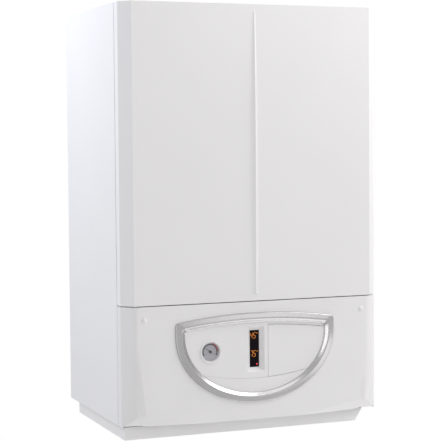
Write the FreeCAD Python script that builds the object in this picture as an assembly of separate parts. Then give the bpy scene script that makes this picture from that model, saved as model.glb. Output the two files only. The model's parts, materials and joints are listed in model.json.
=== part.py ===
import FreeCAD, Part
import math
import os

# Wall-hung gas boiler with a storage tank, every piece as its own solid, in millimetres.
# The origin is on the wall plane, at the middle of the casing's lower edge. +Z is up, +X is to the
# right of someone who faces the boiler, and the front of the casing is towards -Y.

V = FreeCAD.Vector

# Fits between pieces
RUN = 0.05            # radial clearance of a turning shaft
SLIP = 0.3            # clearance of pieces that slip together
REVEAL = 0.5          # gap left visible around the control door

# Casing
WIDTH = 600.0
HEIGHT = 900.0
DEPTH = 425.0
SHEET = 1.2
BACK_SHEET = 1.5
SIDE_FOLD = 15.0      # inward fold along the front edge of a side panel
BACK_FOLD = 25.0      # forward fold along the sides of the back frame
CHAMFER_WIDTH = 23.0  # corner chamfer of the front covers, across the front
CHAMFER_DEPTH = 24.0  # the same chamfer, along the side
RETURN_DEPTH = 23.5   # side return of the front covers
SIDE_SEAM = 2.5       # gap between the front covers and the side panels
COVER_SEAM = 2.0      # gap between the two front covers
LOWER_HEIGHT = 257.5  # height of the lower front panel
HANG_INSET = 80.0     # hanging holes in from the sides
HANG_DROP = 28.0      # hanging holes below the top
HANG_HOLE_R = 6.0

# Front cover
LIP = 20.0            # folded lips at the top and the bottom
PEG_R = 3.0
PEG_LENGTH = 12.0
PEG_INSET = 70.0      # pegs in from the sides
RIB_WIDTH = 21.0      # where the rib is widest
RIB_HEIGHT = 5.5
RIB_MARGIN = 14.5     # plain stretch above and below the rib
RIB_STRETCH = 1.304   # length of the rib's lens outline to the cover's height
RIB_DROP = 35.0       # widest place below the cover's middle

# Front crossbar, bottom rail and plinth
CROSSBAR_HEIGHT = 38.0
CROSSBAR_DEPTH = 25.0
TAB_WIDTH = 32.0
TAB_MARGIN = 15.0     # tab material below the fixing stud
RAIL_HEIGHT = 22.0
RAIL_DEPTH = 35.0
PLINTH_DROP = 28.0
PLINTH_LEFT_INSET = 7.0
PLINTH_RIGHT_INSET = 30.0
PLINTH_SLANT = 18.0   # how far the right end leans in
PLINTH_FRONT_INSET = 26.0
PLINTH_BACK_INSET = 48.0
PLINTH_FOLD = 20.0

# Lower front panel
PANEL_WALL = 2.5
BEVEL_START = 110.0   # where the bottom bevel leaves the lower edge, from the middle
BEVEL_RISE = 28.0     # height of the bevel at the corner
BEVEL_INSET = 36.0    # corner of the bevel in from the side
SPREAD_HEIGHT = 140.0 # below this the corner chamfer widens
BOTTOM_LIP = 17.0     # floor of the panel behind its front face
FIXING_INSET = 45.0   # fixings in from the sides
FIXING_DROP = 28.5    # and below the panel's upper edge
STUD_R = 2.5
STUD_HEAD_R = 6.0
STUD_HEAD = 3.0
STUD_TAIL = 8.0       # stud beyond the crossbar tab
STUD_HOLE_R = 5.0     # leaves room for the stud's arc as the panel tilts
CAP_R = 6.5
CAP_RISE = 3.0
CAP_STEM_R = 3.9

# Pivot of the lower panel
PIVOT_INSET = 100.0   # in from the sides
PIVOT_Y_INSET = 24.0  # behind the front face
PIVOT_Z = 5.0
PIVOT_PIN_R = 3.0
EAR_R = 5.0
EAR_WIDTH = 4.0
LUG_GAP = 1.0

# Half-moon bezel: a half ellipse below the waist, short upright sides and a shallow arched top
MOON_HALF_WIDTH = 186.0
MOON_DROP = 151.0
MOON_WAIST_Z = 189.0
MOON_TOP_Z = 234.0
MOON_TOP_R = 1150.0
MOON_CORNER_R = 9.0
RING_WIDTH = 22.0
RING_HEIGHT = 7.0
RING_SHOULDER = 2.5   # inset of the outer edge of the ring's back slope
RING_SHOULDER_RISE = 4.0
RING_CREST = 11.5
RING_CREST_FLAT = 1.0
RING_INNER_STEP = 4.5
RING_INNER_RISE = 4.2

# Fascia inside the ring
FASCIA_WALL = 2.5
FASCIA_LAP = 7.5      # fascia edge hidden under the ring
ARC_R = 586.0         # arc between the fascia and the lower trim
ARC_LOW_Z = 90.5
TRIM_PROUD = 0.8

# Display
DISPLAY_Z = 153.5
WINDOW_WIDTH = 22.0
WINDOW_HEIGHT = 81.0
WINDOW_THICKNESS = 2.0
WINDOW_LAP = 1.5
FUNNEL_SLOPE = 9.0    # width of the sloping walls around the window
FUNNEL_DEPTH = 10.0
FUNNEL_WALL = 2.0
BOARD = 1.6
DISPLAY_BOARD_MARGIN = 4.0
CHIP = 5.0

# Pressure gauge
GAUGE_X = -106.0
GAUGE_Z = 153.5
DIAL_R = 20.0
GAUGE_WALL = 1.7
GAUGE_RIM_R = 23.5
GAUGE_RIM_PROUD = 2.5
GAUGE_RIM_BEVEL = 1.5
GAUGE_DEPTH = 25.0
DIAL_DEPTH = 4.0
DIAL_THICKNESS = 1.0
GLASS_THICKNESS = 1.2
NEEDLE_LENGTH = 17.0
NEEDLE_TAIL = 6.0
NEEDLE_WIDTH = 1.6
NEEDLE_THICKNESS = 0.6
NEEDLE_HUB_R = 3.2
NEEDLE_PIN_R = 1.0
NEEDLE_PIN = 7.0
NEEDLE_LIFT = 0.6     # needle above the dial
NEEDLE_ANGLE = 141.6  # from the +X direction, counted towards +Z

# Control door and the selectors behind it
DOOR_LEFT_X = 28.0
DOOR_THICKNESS = 2.2
HINGE_INSET = 2.2     # hinge axis in from the door's edge and behind its face
BARREL_R = 2.0
HINGE_PIN_R = 1.2
HINGE_PIN = 2.0
POCKET_WALL = 2.0
POCKET_DEPTH = 20.0
KNOB_XS = (56.0, 94.0, 132.0)
KNOB_NAMES = ("mode_knob", "hot_water_knob", "heating_knob")
KNOB_Z = 150.0
KNOB_R = 13.0
KNOB_HEIGHT = 14.0
KNOB_GRIP_WIDTH = 6.0
KNOB_GRIP_HEIGHT = 7.0
SPINDLE_R = 3.0
SPINDLE = 12.0
SELECTOR_PLATE = 2.0
SELECTOR_BLOCK = 18.0
SELECTOR_BLOCK_DEPTH = 14.0

# Control box behind the lower panel
BOX_SIDE_MARGIN = 3.0 # box beyond the half-moon at the sides
BOX_LOW_MARGIN = 14.0
BOX_HIGH_MARGIN = 12.0
BOX_DEPTH = 82.5
BOX_WALL = 2.5
POST_R = 4.0
POST = 8.0
BOARD_MARGIN = 30.0

# Service pipes through the shelf
SHELF = 2.0
SHELF_DEPTH = 205.0
PIPE_Y = -122.0
PIPE_INSET = 80.0     # heating pipes in from the sides
GAS_X = 0.0
PIPE_WALL = 1.0
HEATING_R = 11.0
WATER_R = 8.0
GAS_R = 9.0
LINK_R = 9.0
VESSEL_PIPE_R = 6.0
BEND = 20.0           # bend radius on the pipe's centre line
LARGE_STUB_R = 13.2
SMALL_STUB_R = 10.5
STUB_END_Z = -24.0
NUT_HEIGHT = 6.0
NUT_RIM = 5.0

# Storage tank
TANK_SIDE_GAP = 10.0
TANK_FRONT_GAP = 73.5
TANK_BACK_GAP = 20.0
TANK_LOW_Z = 235.0
TANK_TOP_GAP = 65.0
TANK_WALL = 2.0
TANK_ROUND = 30.0
SADDLE_WIDTH = 80.0
SADDLE_HEIGHT = 30.0
SADDLE_MARGIN = 110.0
TANK_FLANGE_R = 45.0
TANK_FLANGE = 10.0
TANK_HOLE_R = 20.0
ANODE_R = 10.0
ANODE = 300.0
ANODE_NUT_R = 16.0
ANODE_NUT = 14.0
PORT_MARGIN = 9.4     # ports inside the flat of the tank's ends
HOT_PORT_ANGLE = 116.6 # hot outlet, round from +X towards the wall
HOT_RISE = 30.0
PIPE_SLOT = 27.0      # slot between tank and sealed chamber for the hot pipe
LOW_RUN_Z = 62.0      # level of the low horizontal runs

# Sealed chamber with the burner, exchanger and fan
CHAMBER_SIDE_GAP = 7.0
CHAMBER_FRONT_GAP = 30.0
CHAMBER_BACK = -95.0
CHAMBER_LOW_Z = 310.0
CHAMBER_TOP_GAP = 20.0
CHAMBER_SHEET = 1.0
CHAMBER_COVER = 1.5
CHAMBER_LUG_WIDTH = 40.0
CHAMBER_LUG_HEIGHT = 15.0
FIRE_SIDE_GAP = 20.0
FIRE_FRONT_GAP = 10.0
FIRE_BACK = -150.0
FIRE_WALL = 10.0
FIRE_LEG = 39.0
FIRE_HEIGHT = 210.0
BLADES = 9
BLADE_WIDTH = 10.0
BLADE_HEIGHT = 45.0
BLADE_LIFT = 5.0
MANIFOLD_R = 9.0
MANIFOLD_DROP = 15.0  # manifold axis below the fire box walls
INJECTOR_R = 3.0
SOCKET_R = 12.0
SOCKET = 14.0
ELECTRODE_R = 1.5
ELECTRODE_BODY_R = 4.0
ELECTRODE_BODY = 18.0
ELECTRODE = 25.0
ELECTRODE_SPACING = 60.0
ELECTRODE_LIFT = 15.0 # electrodes above the burner blades
EXCHANGER_HEIGHT = 70.0
EXCHANGER_WALL = 3.0
EXCHANGER_TUBES = 4
EXCHANGER_TUBE_R = 9.0
FINS = 24
FIN = 0.8
FIN_MARGIN = 8.0
HOOD_HEIGHT = 60.0
HOOD_SHEET = 1.5
FAN_R = 62.0
FAN_DEPTH = 68.0
FAN_WALL = 3.0
FAN_INLET_WIDTH = 60.0
FAN_INLET_DEPTH = 40.0
FAN_MOTOR_R = 34.0
FAN_MOTOR_GAP = 13.5  # motor behind the chamber's front
IMPELLER_R = 50.0
IMPELLER_DISC = 3.0
IMPELLER_BLADE = 30.0
IMPELLER_BLADES = 12
IMPELLER_BLADE_SHEET = 1.5
IMPELLER_BLADE_WIDTH = 16.0
FAN_SHAFT_R = 4.0
FAN_SHAFT_COVER = 10.0 # motor in front of the shaft's end
SPIGOT_RISE = 10.0
FLUE_BORE_R = 30.2    # takes a 60 mm flue pipe
FLUE_WALL = 2.0
COLLAR_R = 50.0       # takes the 100 mm air pipe over it
COLLAR_WALL = 2.5
COLLAR_HEIGHT = 12.0
COLLAR_FLANGE_R = 72.0
COLLAR_FLANGE = 3.0

# Expansion vessel
VESSEL_R = 120.0
VESSEL_Z = 570.0
VESSEL_FRONT_GAP = 5.0
VESSEL_BACK_GAP = 10.0
VESSEL_ROUND = 20.0
VESSEL_WALL = 1.5
VESSEL_PAD_R = 40.0
NIPPLE = 10.0
VESSEL_RUN_Z = 270.0

# Pump
PUMP_Z = 130.0
PUMP_R = 45.0
PUMP_DEPTH = 60.0
PUMP_CAVITY_R = 36.0
PUMP_BACK_WALL = 8.0
PORT_R = 15.0
PORT = 10.0
PUMP_FLANGE = 8.0
PUMP_MOTOR_R = 40.0
PUMP_MOTOR = 80.0
PUMP_SHAFT_R = 4.0
PUMP_SHAFT = 60.0
PUMP_WHEEL_R = 32.0
PUMP_WHEEL = 20.0
PUMP_WHEEL_GAP = 12.0

# Valves and plate exchanger
GAS_VALVE_WIDTH = 80.0
GAS_VALVE_DEPTH = 80.0
GAS_VALVE_LOW_Z = 95.0
GAS_VALVE_HEIGHT = 90.0
COIL_R = 14.0
COIL = 30.0
COIL_SPACING = 44.0
COIL_SETBACK = 30.0
GAS_RUN_Z = 255.0
DIVERTER_WIDTH = 60.0
DIVERTER_LOW_Z = 70.0
DIVERTER_HEIGHT = 60.0
ACTUATOR_R = 22.0
ACTUATOR = 55.0
LINK_Z = 100.0
LINK_STRAIGHT = 55.0  # link's last stretch beside the plate exchanger
LINK_Y = -98.0
PLATE_GAP = 11.7      # between the hot pipe and the plate exchanger
PLATE_WIDTH = 75.0
PLATE_FRONT = -112.5
PLATE_DEPTH = 76.0
PLATE_LOW_Z = 30.0
PLATE_HEIGHT = 160.0
PLATES = 12
PLATE_GROOVE = 3.0
PLATE_SHEET = 3.5
PLATE_BRACKET_WIDTH = 35.0
PLATE_BRACKET_HEIGHT = 50.0
PLATE_RETURN_Z = 42.0
PLATE_RETURN_Y = -88.0
SAFETY_INSET = 120.0  # relief valve left of the pump
SAFETY_R = 12.0
SAFETY = 39.0
SAFETY_KNOB_R = 17.0
SAFETY_KNOB = 24.0
SAFETY_SPINDLE_R = 4.0
SAFETY_SPINDLE = 20.0
FLUTES = 8
FLUTE_R = 3.0

# Places that follow from the sizes above
HALF = WIDTH / 2
INNER = HALF - SHEET
FRONT = -DEPTH
SHOULDER = FRONT + CHAMFER_DEPTH
RETURN_BACK = SHOULDER + RETURN_DEPTH
SIDE_FRONT = RETURN_BACK + SIDE_SEAM
COVER_LOW_Z = LOWER_HEIGHT + COVER_SEAM
UNDER_TOP = HEIGHT - SHEET
HANG_X = HALF - HANG_INSET
PEG_X = HALF - PEG_INSET
FIXING_X = HALF - FIXING_INSET
FIXING_Z = LOWER_HEIGHT - FIXING_DROP
PIVOT_X = HALF - PIVOT_INSET
PIVOT_Y = FRONT + PIVOT_Y_INSET
TAB_BACK = SIDE_FRONT + SHEET
ARC_CENTRE_Z = ARC_LOW_Z + ARC_R
FASCIA_BACK = FRONT + FASCIA_WALL
PANEL_INSIDE = FRONT + PANEL_WALL
BOX_HALF_WIDTH = MOON_HALF_WIDTH + BOX_SIDE_MARGIN
BOX_LOW_Z = MOON_WAIST_Z - MOON_DROP - BOX_LOW_MARGIN
BOX_HIGH_Z = MOON_TOP_Z + BOX_HIGH_MARGIN
BOX_BACK = PANEL_INSIDE + BOX_DEPTH
WINDOW_FRONT = FRONT + FUNNEL_DEPTH
SELECTOR_FRONT = FRONT + POCKET_DEPTH
HINGE_X = DOOR_LEFT_X + HINGE_INSET
HINGE_Y = FRONT + HINGE_INSET
TANK_R = (-BACK_SHEET - TANK_BACK_GAP - SIDE_FRONT - TANK_FRONT_GAP) / 2
PORT_CIRCLE = TANK_R - TANK_ROUND - PORT_MARGIN
HOT_PORT_X = PORT_CIRCLE * math.cos(math.radians(HOT_PORT_ANGLE))
HOT_PORT_Y = PORT_CIRCLE * math.sin(math.radians(HOT_PORT_ANGLE))
TANK_X = INNER - TANK_SIDE_GAP - TANK_R
TANK_Y = -BACK_SHEET - TANK_BACK_GAP - TANK_R
TANK_HIGH_Z = HEIGHT - TANK_TOP_GAP
CHAMBER_LEFT = -INNER + CHAMBER_SIDE_GAP
CHAMBER_RIGHT = TANK_X - TANK_R - PIPE_SLOT
CHAMBER_FRONT = SIDE_FRONT + CHAMBER_FRONT_GAP
CHAMBER_HIGH_Z = HEIGHT - CHAMBER_TOP_GAP
FIRE_LEFT = CHAMBER_LEFT + FIRE_SIDE_GAP
FIRE_RIGHT = CHAMBER_RIGHT - FIRE_SIDE_GAP
FIRE_FRONT = CHAMBER_FRONT + FIRE_FRONT_GAP
FLOW_X = -HALF + PIPE_INSET
RETURN_X = HALF - PIPE_INSET
HOT_SLOT_X = CHAMBER_RIGHT + PIPE_SLOT / 2
HOT_X = (FLOW_X + HOT_SLOT_X) / 2
COLD_X = TANK_X
FIRE_LOW_Z = CHAMBER_LOW_Z + CHAMBER_SHEET + FIRE_LEG
FIRE_HIGH_Z = FIRE_LOW_Z + FIRE_HEIGHT
ENGINE_X = (CHAMBER_LEFT + CHAMBER_RIGHT) / 2
RISE_X = (ENGINE_X + FIRE_RIGHT) / 2
ENGINE_Y = (FIRE_FRONT + FIRE_BACK) / 2
BLADE_LOW_Z = FIRE_LOW_Z + BLADE_LIFT
BLADE_HIGH_Z = BLADE_LOW_Z + BLADE_HEIGHT
MANIFOLD_Z = FIRE_LOW_Z - MANIFOLD_DROP
EXCHANGER_HIGH_Z = FIRE_HIGH_Z + EXCHANGER_HEIGHT
EXCHANGER_Z = FIRE_HIGH_Z + EXCHANGER_HEIGHT / 2
HOOD_HIGH_Z = EXCHANGER_HIGH_Z + HOOD_HEIGHT
FAN_Z = HOOD_HIGH_Z + FAN_R
FAN_FRONT = ENGINE_Y - FAN_DEPTH / 2
FAN_MOTOR = FAN_FRONT - CHAMBER_FRONT - FAN_MOTOR_GAP
FAN_SHAFT = FAN_MOTOR - FAN_SHAFT_COVER
SPIGOT_Z = FAN_Z + FAN_R + SPIGOT_RISE
FLUE_R = FLUE_BORE_R + FLUE_WALL
AIR_R = COLLAR_R - COLLAR_WALL
COLLAR_TOP_Z = HEIGHT + COLLAR_HEIGHT
VESSEL_FRONT = CHAMBER_BACK + VESSEL_FRONT_GAP
VESSEL_BACK = -BACK_SHEET - VESSEL_BACK_GAP
VESSEL_Y = (VESSEL_FRONT + VESSEL_BACK) / 2
PUMP_FRONT = PIPE_Y - PUMP_DEPTH / 2
PUMP_BACK = PIPE_Y + PUMP_DEPTH / 2
GAS_VALVE_HIGH_Z = GAS_VALVE_LOW_Z + GAS_VALVE_HEIGHT
DIVERTER_RIGHT = FLOW_X + DIVERTER_WIDTH / 2
PLATE_BACK = PLATE_FRONT + PLATE_DEPTH
PLATE_LEFT_X = HOT_SLOT_X + WATER_R + PLATE_GAP
PLATE_RIGHT_X = PLATE_LEFT_X + PLATE_WIDTH
LINK_TURN_X = PLATE_LEFT_X - LINK_STRAIGHT
SAFETY_X = RETURN_X - SAFETY_INSET
SAFETY_FRONT = PIPE_Y - LINK_R - SAFETY


def box(x0, x1, y0, y1, z0, z1):
    """Block between two corners."""
    return Part.makeBox(x1 - x0, y1 - y0, z1 - z0, V(x0, y0, z0))


def rod(radius, start, end):
    """Round bar from one point to another."""
    along = V(*end) - V(*start)
    return Part.makeCylinder(radius, along.Length, V(*start), along)


def ring(outer, inner, start, end):
    """Round tube from one point to another."""
    return rod(outer, start, end).cut(rod(inner, start, end))


def join(shapes):
    """One solid from pieces that touch or overlap."""
    first, *others = shapes
    return first.multiFuse(others).removeSplitter()


def both_sides(shape):
    """A shape and its mirror image across the middle plane."""
    return [shape, shape.mirror(V(0, 0, 0), V(1, 0, 0))]


def prism(points, along):
    """Flat outline through 3-D points, extruded."""
    outline = Part.makePolygon(points + points[:1])
    return Part.Face(outline).extrude(along)


def parallel(points, distance):
    """An open 2-D line moved to its left, with mitred corners."""
    ways = []
    for a, b in zip(points, points[1:]):
        length = math.dist(a, b)
        ways.append(((b[0] - a[0]) / length, (b[1] - a[1]) / length))
    moved = []
    for i, (u, v) in enumerate(points):
        before = ways[max(i - 1, 0)]
        after = ways[min(i, len(ways) - 1)]
        share = distance / (1 + before[0] * after[0] + before[1] * after[1])
        moved.append((u - share * (before[1] + after[1]), v + share * (before[0] + after[0])))
    return moved


def folded(points, thickness):
    """Closed outline of a folded sheet whose outer face follows the points."""
    return points + parallel(points, thickness)[::-1]


def upright(outline, z0, z1):
    """Plan outline (x, y) as a solid between two heights."""
    return prism([V(x, y, z0) for x, y in outline], V(0, 0, z1 - z0))


def across(outline, x0, x1):
    """Side outline (y, z) as a solid between two places along the width."""
    return prism([V(x0, y, z) for y, z in outline], V(x1 - x0, 0, 0))


def pipe(points, radius, wall=PIPE_WALL, bend=BEND):
    """Hollow tube along straight runs joined by round bends."""
    corners = [V(*p) for p in points]
    edges = []
    start = corners[0]
    for before, corner, after in zip(corners, corners[1:], corners[2:]):
        into = (corner - before).normalize()
        out = (after - corner).normalize()
        half_turn = into.getAngle(out) / 2
        entry = corner - into * (bend * math.tan(half_turn))
        leave = corner + out * (bend * math.tan(half_turn))
        inward = (out - into).normalize()
        middle = corner + inward * (bend / math.cos(half_turn) - bend)
        edges.append(Part.LineSegment(start, entry).toShape())
        edges.append(Part.Arc(entry, middle, leave).toShape())
        start = leave
    edges.append(Part.LineSegment(start, corners[-1]).toShape())
    path = Part.Wire(edges)
    way = corners[1] - corners[0]

    def swept(r):
        profile = Part.Wire(Part.makeCircle(r, corners[0], way))
        return path.makePipeShell([profile], True, False)

    return swept(radius).cut(swept(radius - wall))


def service_pipe(points, radius, stub_radius):
    """Pipe that starts below the shelf in a connection stub with a nut under the shelf."""
    x, y, _ = points[0]
    stub = ring(stub_radius, radius, (x, y, STUB_END_Z), (x, y, -NUT_HEIGHT))
    nut = ring(stub_radius + NUT_RIM, radius, (x, y, -NUT_HEIGHT), (x, y, 0))
    return join([pipe(points, radius), stub, nut])


def drum(radius, rounding, start, end):
    """Round bar with rounded ends."""
    bar = rod(radius, start, end)
    rims = [edge for edge in bar.Edges if edge.Closed and len(edge.Vertexes) == 1]
    return bar.makeFillet(rounding, rims)


def hollow_drum(radius, rounding, wall, start, end):
    """Closed vessel with rounded ends and an even wall."""
    inward = (V(*end) - V(*start)).normalize() * wall
    inside = drum(radius - wall, rounding - wall, V(*start) + inward, V(*end) - inward)
    return drum(radius, rounding, start, end).cut(inside)


def cover_line():
    """Plan of the front covers, from the left rear edge round the front to the right rear edge."""
    return [
        (-HALF, RETURN_BACK),
        (-HALF, SHOULDER),
        (-HALF + CHAMFER_WIDTH, FRONT),
        (HALF - CHAMFER_WIDTH, FRONT),
        (HALF, SHOULDER),
        (HALF, RETURN_BACK),
    ]


def moon(inset, y):
    """Outline of the half-moon, moved inwards by inset, on the plane at y."""
    a = MOON_HALF_WIDTH - inset
    b = MOON_DROP - inset
    top_radius = MOON_TOP_R - inset
    top_centre = MOON_TOP_Z - MOON_TOP_R
    reach = top_radius - MOON_CORNER_R
    corner_x = a - MOON_CORNER_R
    corner_z = top_centre + math.sqrt(reach ** 2 - corner_x ** 2)
    touch_x = corner_x * top_radius / reach
    touch_z = top_centre + (corner_z - top_centre) * top_radius / reach
    lean = math.atan2(touch_z - corner_z, touch_x - corner_x) / 2
    round_x = corner_x + MOON_CORNER_R * math.cos(lean)
    round_z = corner_z + MOON_CORNER_R * math.sin(lean)
    waist = V(0, y, MOON_WAIST_Z)
    ellipse = Part.Ellipse(waist + V(a, 0, 0), waist - V(0, 0, b), waist)
    right = Part.ArcOfEllipse(ellipse, 0, math.pi / 2)
    left = Part.ArcOfEllipse(ellipse, math.pi / 2, math.pi)
    curves = [
        right,
        left,
        Part.LineSegment(V(-a, y, MOON_WAIST_Z), V(-a, y, corner_z)),
        Part.Arc(V(-a, y, corner_z), V(-round_x, y, round_z), V(-touch_x, y, touch_z)),
        Part.Arc(V(-touch_x, y, touch_z), V(0, y, top_centre + top_radius), V(touch_x, y, touch_z)),
        Part.Arc(V(touch_x, y, touch_z), V(round_x, y, round_z), V(a, y, corner_z)),
        Part.LineSegment(V(a, y, corner_z), V(a, y, MOON_WAIST_Z)),
    ]
    return Part.Wire([curve.toShape() for curve in curves])


def moon_plate(inset, y0, y1):
    """Half-moon plate between two depths."""
    return Part.Face(moon(inset, y0)).extrude(V(0, y1 - y0, 0))


def arc_disc(growth, y0, y1):
    """Disc whose lowest edge is the arc between the fascia and the trim."""
    return rod(ARC_R + growth, (0, y0, ARC_CENTRE_Z), (0, y1, ARC_CENTRE_Z))


def door_plate(growth, y0, y1):
    """Outline of the control door, grown all round, as a plate between two depths."""
    plate = moon_plate(RING_WIDTH + REVEAL - growth, y0, y1)
    plate = plate.common(arc_disc(growth - REVEAL, y0, y1))
    return plate.common(box(DOOR_LEFT_X - growth, HALF, y0, y1, 0, LOWER_HEIGHT))


def rectangle_loft(lower, upper):
    """Straight-sided solid between two level rectangles, each (x0, x1, y0, y1, z)."""
    wires = []
    for x0, x1, y0, y1, z in (lower, upper):
        wires.append(Part.makePolygon([V(x0, y0, z), V(x1, y0, z), V(x1, y1, z), V(x0, y1, z), V(x0, y0, z)]))
    return Part.makeLoft(wires, True, True)


def back_frame():
    """Back sheet with its side folds, the hanging holes and the brackets welded to it."""
    sheet = box(-INNER, INNER, -BACK_SHEET, 0, 0, HEIGHT)
    fold = box(INNER - SHEET, INNER, -BACK_FOLD, -BACK_SHEET, SHELF, UNDER_TOP)
    frame = join([sheet] + both_sides(fold) + tank_saddles() + [plate_bracket()])
    hang_z = HEIGHT - HANG_DROP
    for x in (-HANG_X, HANG_X):
        frame = frame.cut(rod(HANG_HOLE_R, (x, -BACK_SHEET, hang_z), (x, 0, hang_z)))
    return frame


def tank_saddles():
    """Two welded blocks, hollowed to the tank's round side."""
    clear = rod(TANK_R + SLIP, (TANK_X, TANK_Y, 0), (TANK_X, TANK_Y, HEIGHT))
    saddles = []
    for z in (TANK_LOW_Z + SADDLE_MARGIN, TANK_HIGH_Z - SADDLE_MARGIN - SADDLE_HEIGHT):
        block = box(TANK_X - SADDLE_WIDTH / 2, TANK_X + SADDLE_WIDTH / 2,
                    TANK_Y + TANK_R / 2, -BACK_SHEET, z, z + SADDLE_HEIGHT)
        saddles.append(block.cut(clear))
    return saddles


def plate_bracket():
    """Block that carries the plate heat exchanger."""
    x = PLATE_LEFT_X + PLATE_WIDTH / 2
    z = PLATE_LOW_Z + PLATE_HEIGHT / 2
    return box(x - PLATE_BRACKET_WIDTH / 2, x + PLATE_BRACKET_WIDTH / 2, PLATE_BACK, -BACK_SHEET,
               z - PLATE_BRACKET_HEIGHT / 2, z + PLATE_BRACKET_HEIGHT / 2)


def left_side_panel():
    """Side sheet, folded in along its front edge."""
    outline = folded([(-HALF, 0), (-HALF, SIDE_FRONT), (-HALF + SIDE_FOLD, SIDE_FRONT)], SHEET)
    panel = upright(outline, 0, HEIGHT)
    return panel.cut(box(-INNER, -INNER + SIDE_FOLD, SIDE_FRONT, 0, UNDER_TOP, HEIGHT))


def top_panel():
    """Top sheet with a front fold and the hole for the flue and air pipes."""
    sheet = box(-INNER, INNER, SIDE_FRONT, -BACK_SHEET, UNDER_TOP, HEIGHT)
    fold = box(-HALF + SIDE_FOLD, HALF - SIDE_FOLD, SIDE_FRONT, TAB_BACK, UNDER_TOP - LIP, UNDER_TOP)
    hole = flue_rod(AIR_R, UNDER_TOP, HEIGHT)
    return join([sheet, fold]).cut(hole).cut(peg_holes(UNDER_TOP - LIP / 2))


def peg_holes(z):
    """Holes for the front cover's pegs at one height."""
    hole = rod(PEG_R + SLIP, (PEG_X, SIDE_FRONT, z), (PEG_X, TAB_BACK, z))
    return Part.makeCompound(both_sides(hole))


def front_crossbar():
    """Channel between the side panels, with a tab for each fixing stud of the lower panel."""
    z1 = COVER_LOW_Z + CROSSBAR_HEIGHT
    back = SIDE_FRONT + CROSSBAR_DEPTH
    line = [(back, z1), (SIDE_FRONT, z1), (SIDE_FRONT, COVER_LOW_Z), (back, COVER_LOW_Z)]
    channel = across(folded(line, SHEET), -HALF + SIDE_FOLD, HALF - SIDE_FOLD)
    x = FIXING_X
    tab = box(x - TAB_WIDTH / 2, x + TAB_WIDTH / 2, SIDE_FRONT, TAB_BACK, FIXING_Z - TAB_MARGIN, COVER_LOW_Z)
    tab = tab.cut(rod(STUD_HOLE_R, (x, SIDE_FRONT, FIXING_Z), (x, TAB_BACK, FIXING_Z)))
    return join([channel] + both_sides(tab)).cut(peg_holes(COVER_LOW_Z + LIP))


def bottom_rail():
    """Angle along the lower front edge, with the two ears that carry the lower panel."""
    line = [(SIDE_FRONT, RAIL_HEIGHT), (SIDE_FRONT, 0), (SIDE_FRONT + RAIL_DEPTH, 0)]
    angle = across(folded(line, SHEET), -HALF + SIDE_FOLD, HALF - SIDE_FOLD)
    x0 = PIVOT_X - EAR_WIDTH / 2
    x1 = PIVOT_X + EAR_WIDTH / 2
    arm = box(x0, x1, PIVOT_Y, SIDE_FRONT, PIVOT_Z - EAR_R, PIVOT_Z + EAR_R)
    ear = join([arm, rod(EAR_R, (x0, PIVOT_Y, PIVOT_Z), (x1, PIVOT_Y, PIVOT_Z))])
    ear = ear.cut(rod(PIVOT_PIN_R + RUN, (x0, PIVOT_Y, PIVOT_Z), (x1, PIVOT_Y, PIVOT_Z)))
    return join([angle] + both_sides(ear))


def plinth():
    """Skirt under the casing, open below and behind, with a leaning right end."""
    left = -HALF + PLINTH_LEFT_INSET
    right = HALF - PLINTH_RIGHT_INSET
    front = FRONT + PLINTH_FRONT_INSET
    back = -PLINTH_BACK_INSET
    low = -PLINTH_DROP
    line = [(right, 0), (right - PLINTH_SLANT, low), (left, low), (left, 0)]
    outer = prism([V(x, front, z) for x, z in line], V(0, back - front, 0))
    inner_line = parallel([(left, 0), (left, low), (right - PLINTH_SLANT, low), (right, 0)], SHEET)
    (inner_left, _), _, (inner_low, _), (inner_right, _) = inner_line
    hollow = [(inner_left, -SHEET), (inner_left, low), (inner_low, low), (inner_right, -SHEET)]
    inner = prism([V(x, front + SHEET, z) for x, z in hollow], V(0, back - front, 0))
    opening_front = front + PLINTH_FOLD + RAIL_DEPTH
    opening = box(left + PLINTH_FOLD, right - PLINTH_FOLD, opening_front, back, -SHEET, 0)
    return outer.cut(inner).cut(opening)


def pipe_shelf():
    """Sheet across the bottom that holds the service pipes."""
    shelf = box(-INNER, INNER, -SHELF_DEPTH, -BACK_SHEET, 0, SHELF)
    pipes = ((FLOW_X, HEATING_R), (HOT_X, WATER_R), (GAS_X, GAS_R), (COLD_X, WATER_R), (RETURN_X, HEATING_R))
    for x, radius in pipes:
        shelf = shelf.cut(rod(radius + SLIP, (x, PIPE_Y, 0), (x, PIPE_Y, SHELF)))
    return shelf


def cover_rib():
    """Long raised rib: a lens and a strip on the front, each extruded both ways at a slant."""
    middle = V(0, FRONT, (COVER_LOW_Z + HEIGHT) / 2 - RIB_DROP)
    reach = V(0, 0, (HEIGHT - COVER_LOW_Z) * RIB_STRETCH / 2)
    half = V(RIB_WIDTH / 2, 0, 0)
    sides = [Part.Arc(middle - reach, middle + way * half, middle + reach).toShape() for way in (-1, 1)]
    lens = Part.Face(Part.Wire(sides))
    low, high = COVER_LOW_Z + RIB_MARGIN, HEIGHT - RIB_MARGIN
    line = [(-RIB_WIDTH, low), (RIB_WIDTH, low), (RIB_WIDTH, high), (-RIB_WIDTH, high), (-RIB_WIDTH, low)]
    strip = Part.Face(Part.makePolygon([V(x, FRONT, z) for x, z in line]))
    rise = 2 * RIB_HEIGHT
    slants = [lens.extrude(V(way * RIB_WIDTH, -rise, 0)) for way in (-1, 1)]
    slants += [strip.extrude(V(0, -rise, way * rise)) for way in (-1, 1)]
    return slants[0].common(slants[1]).common(slants[2]).common(slants[3])


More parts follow.
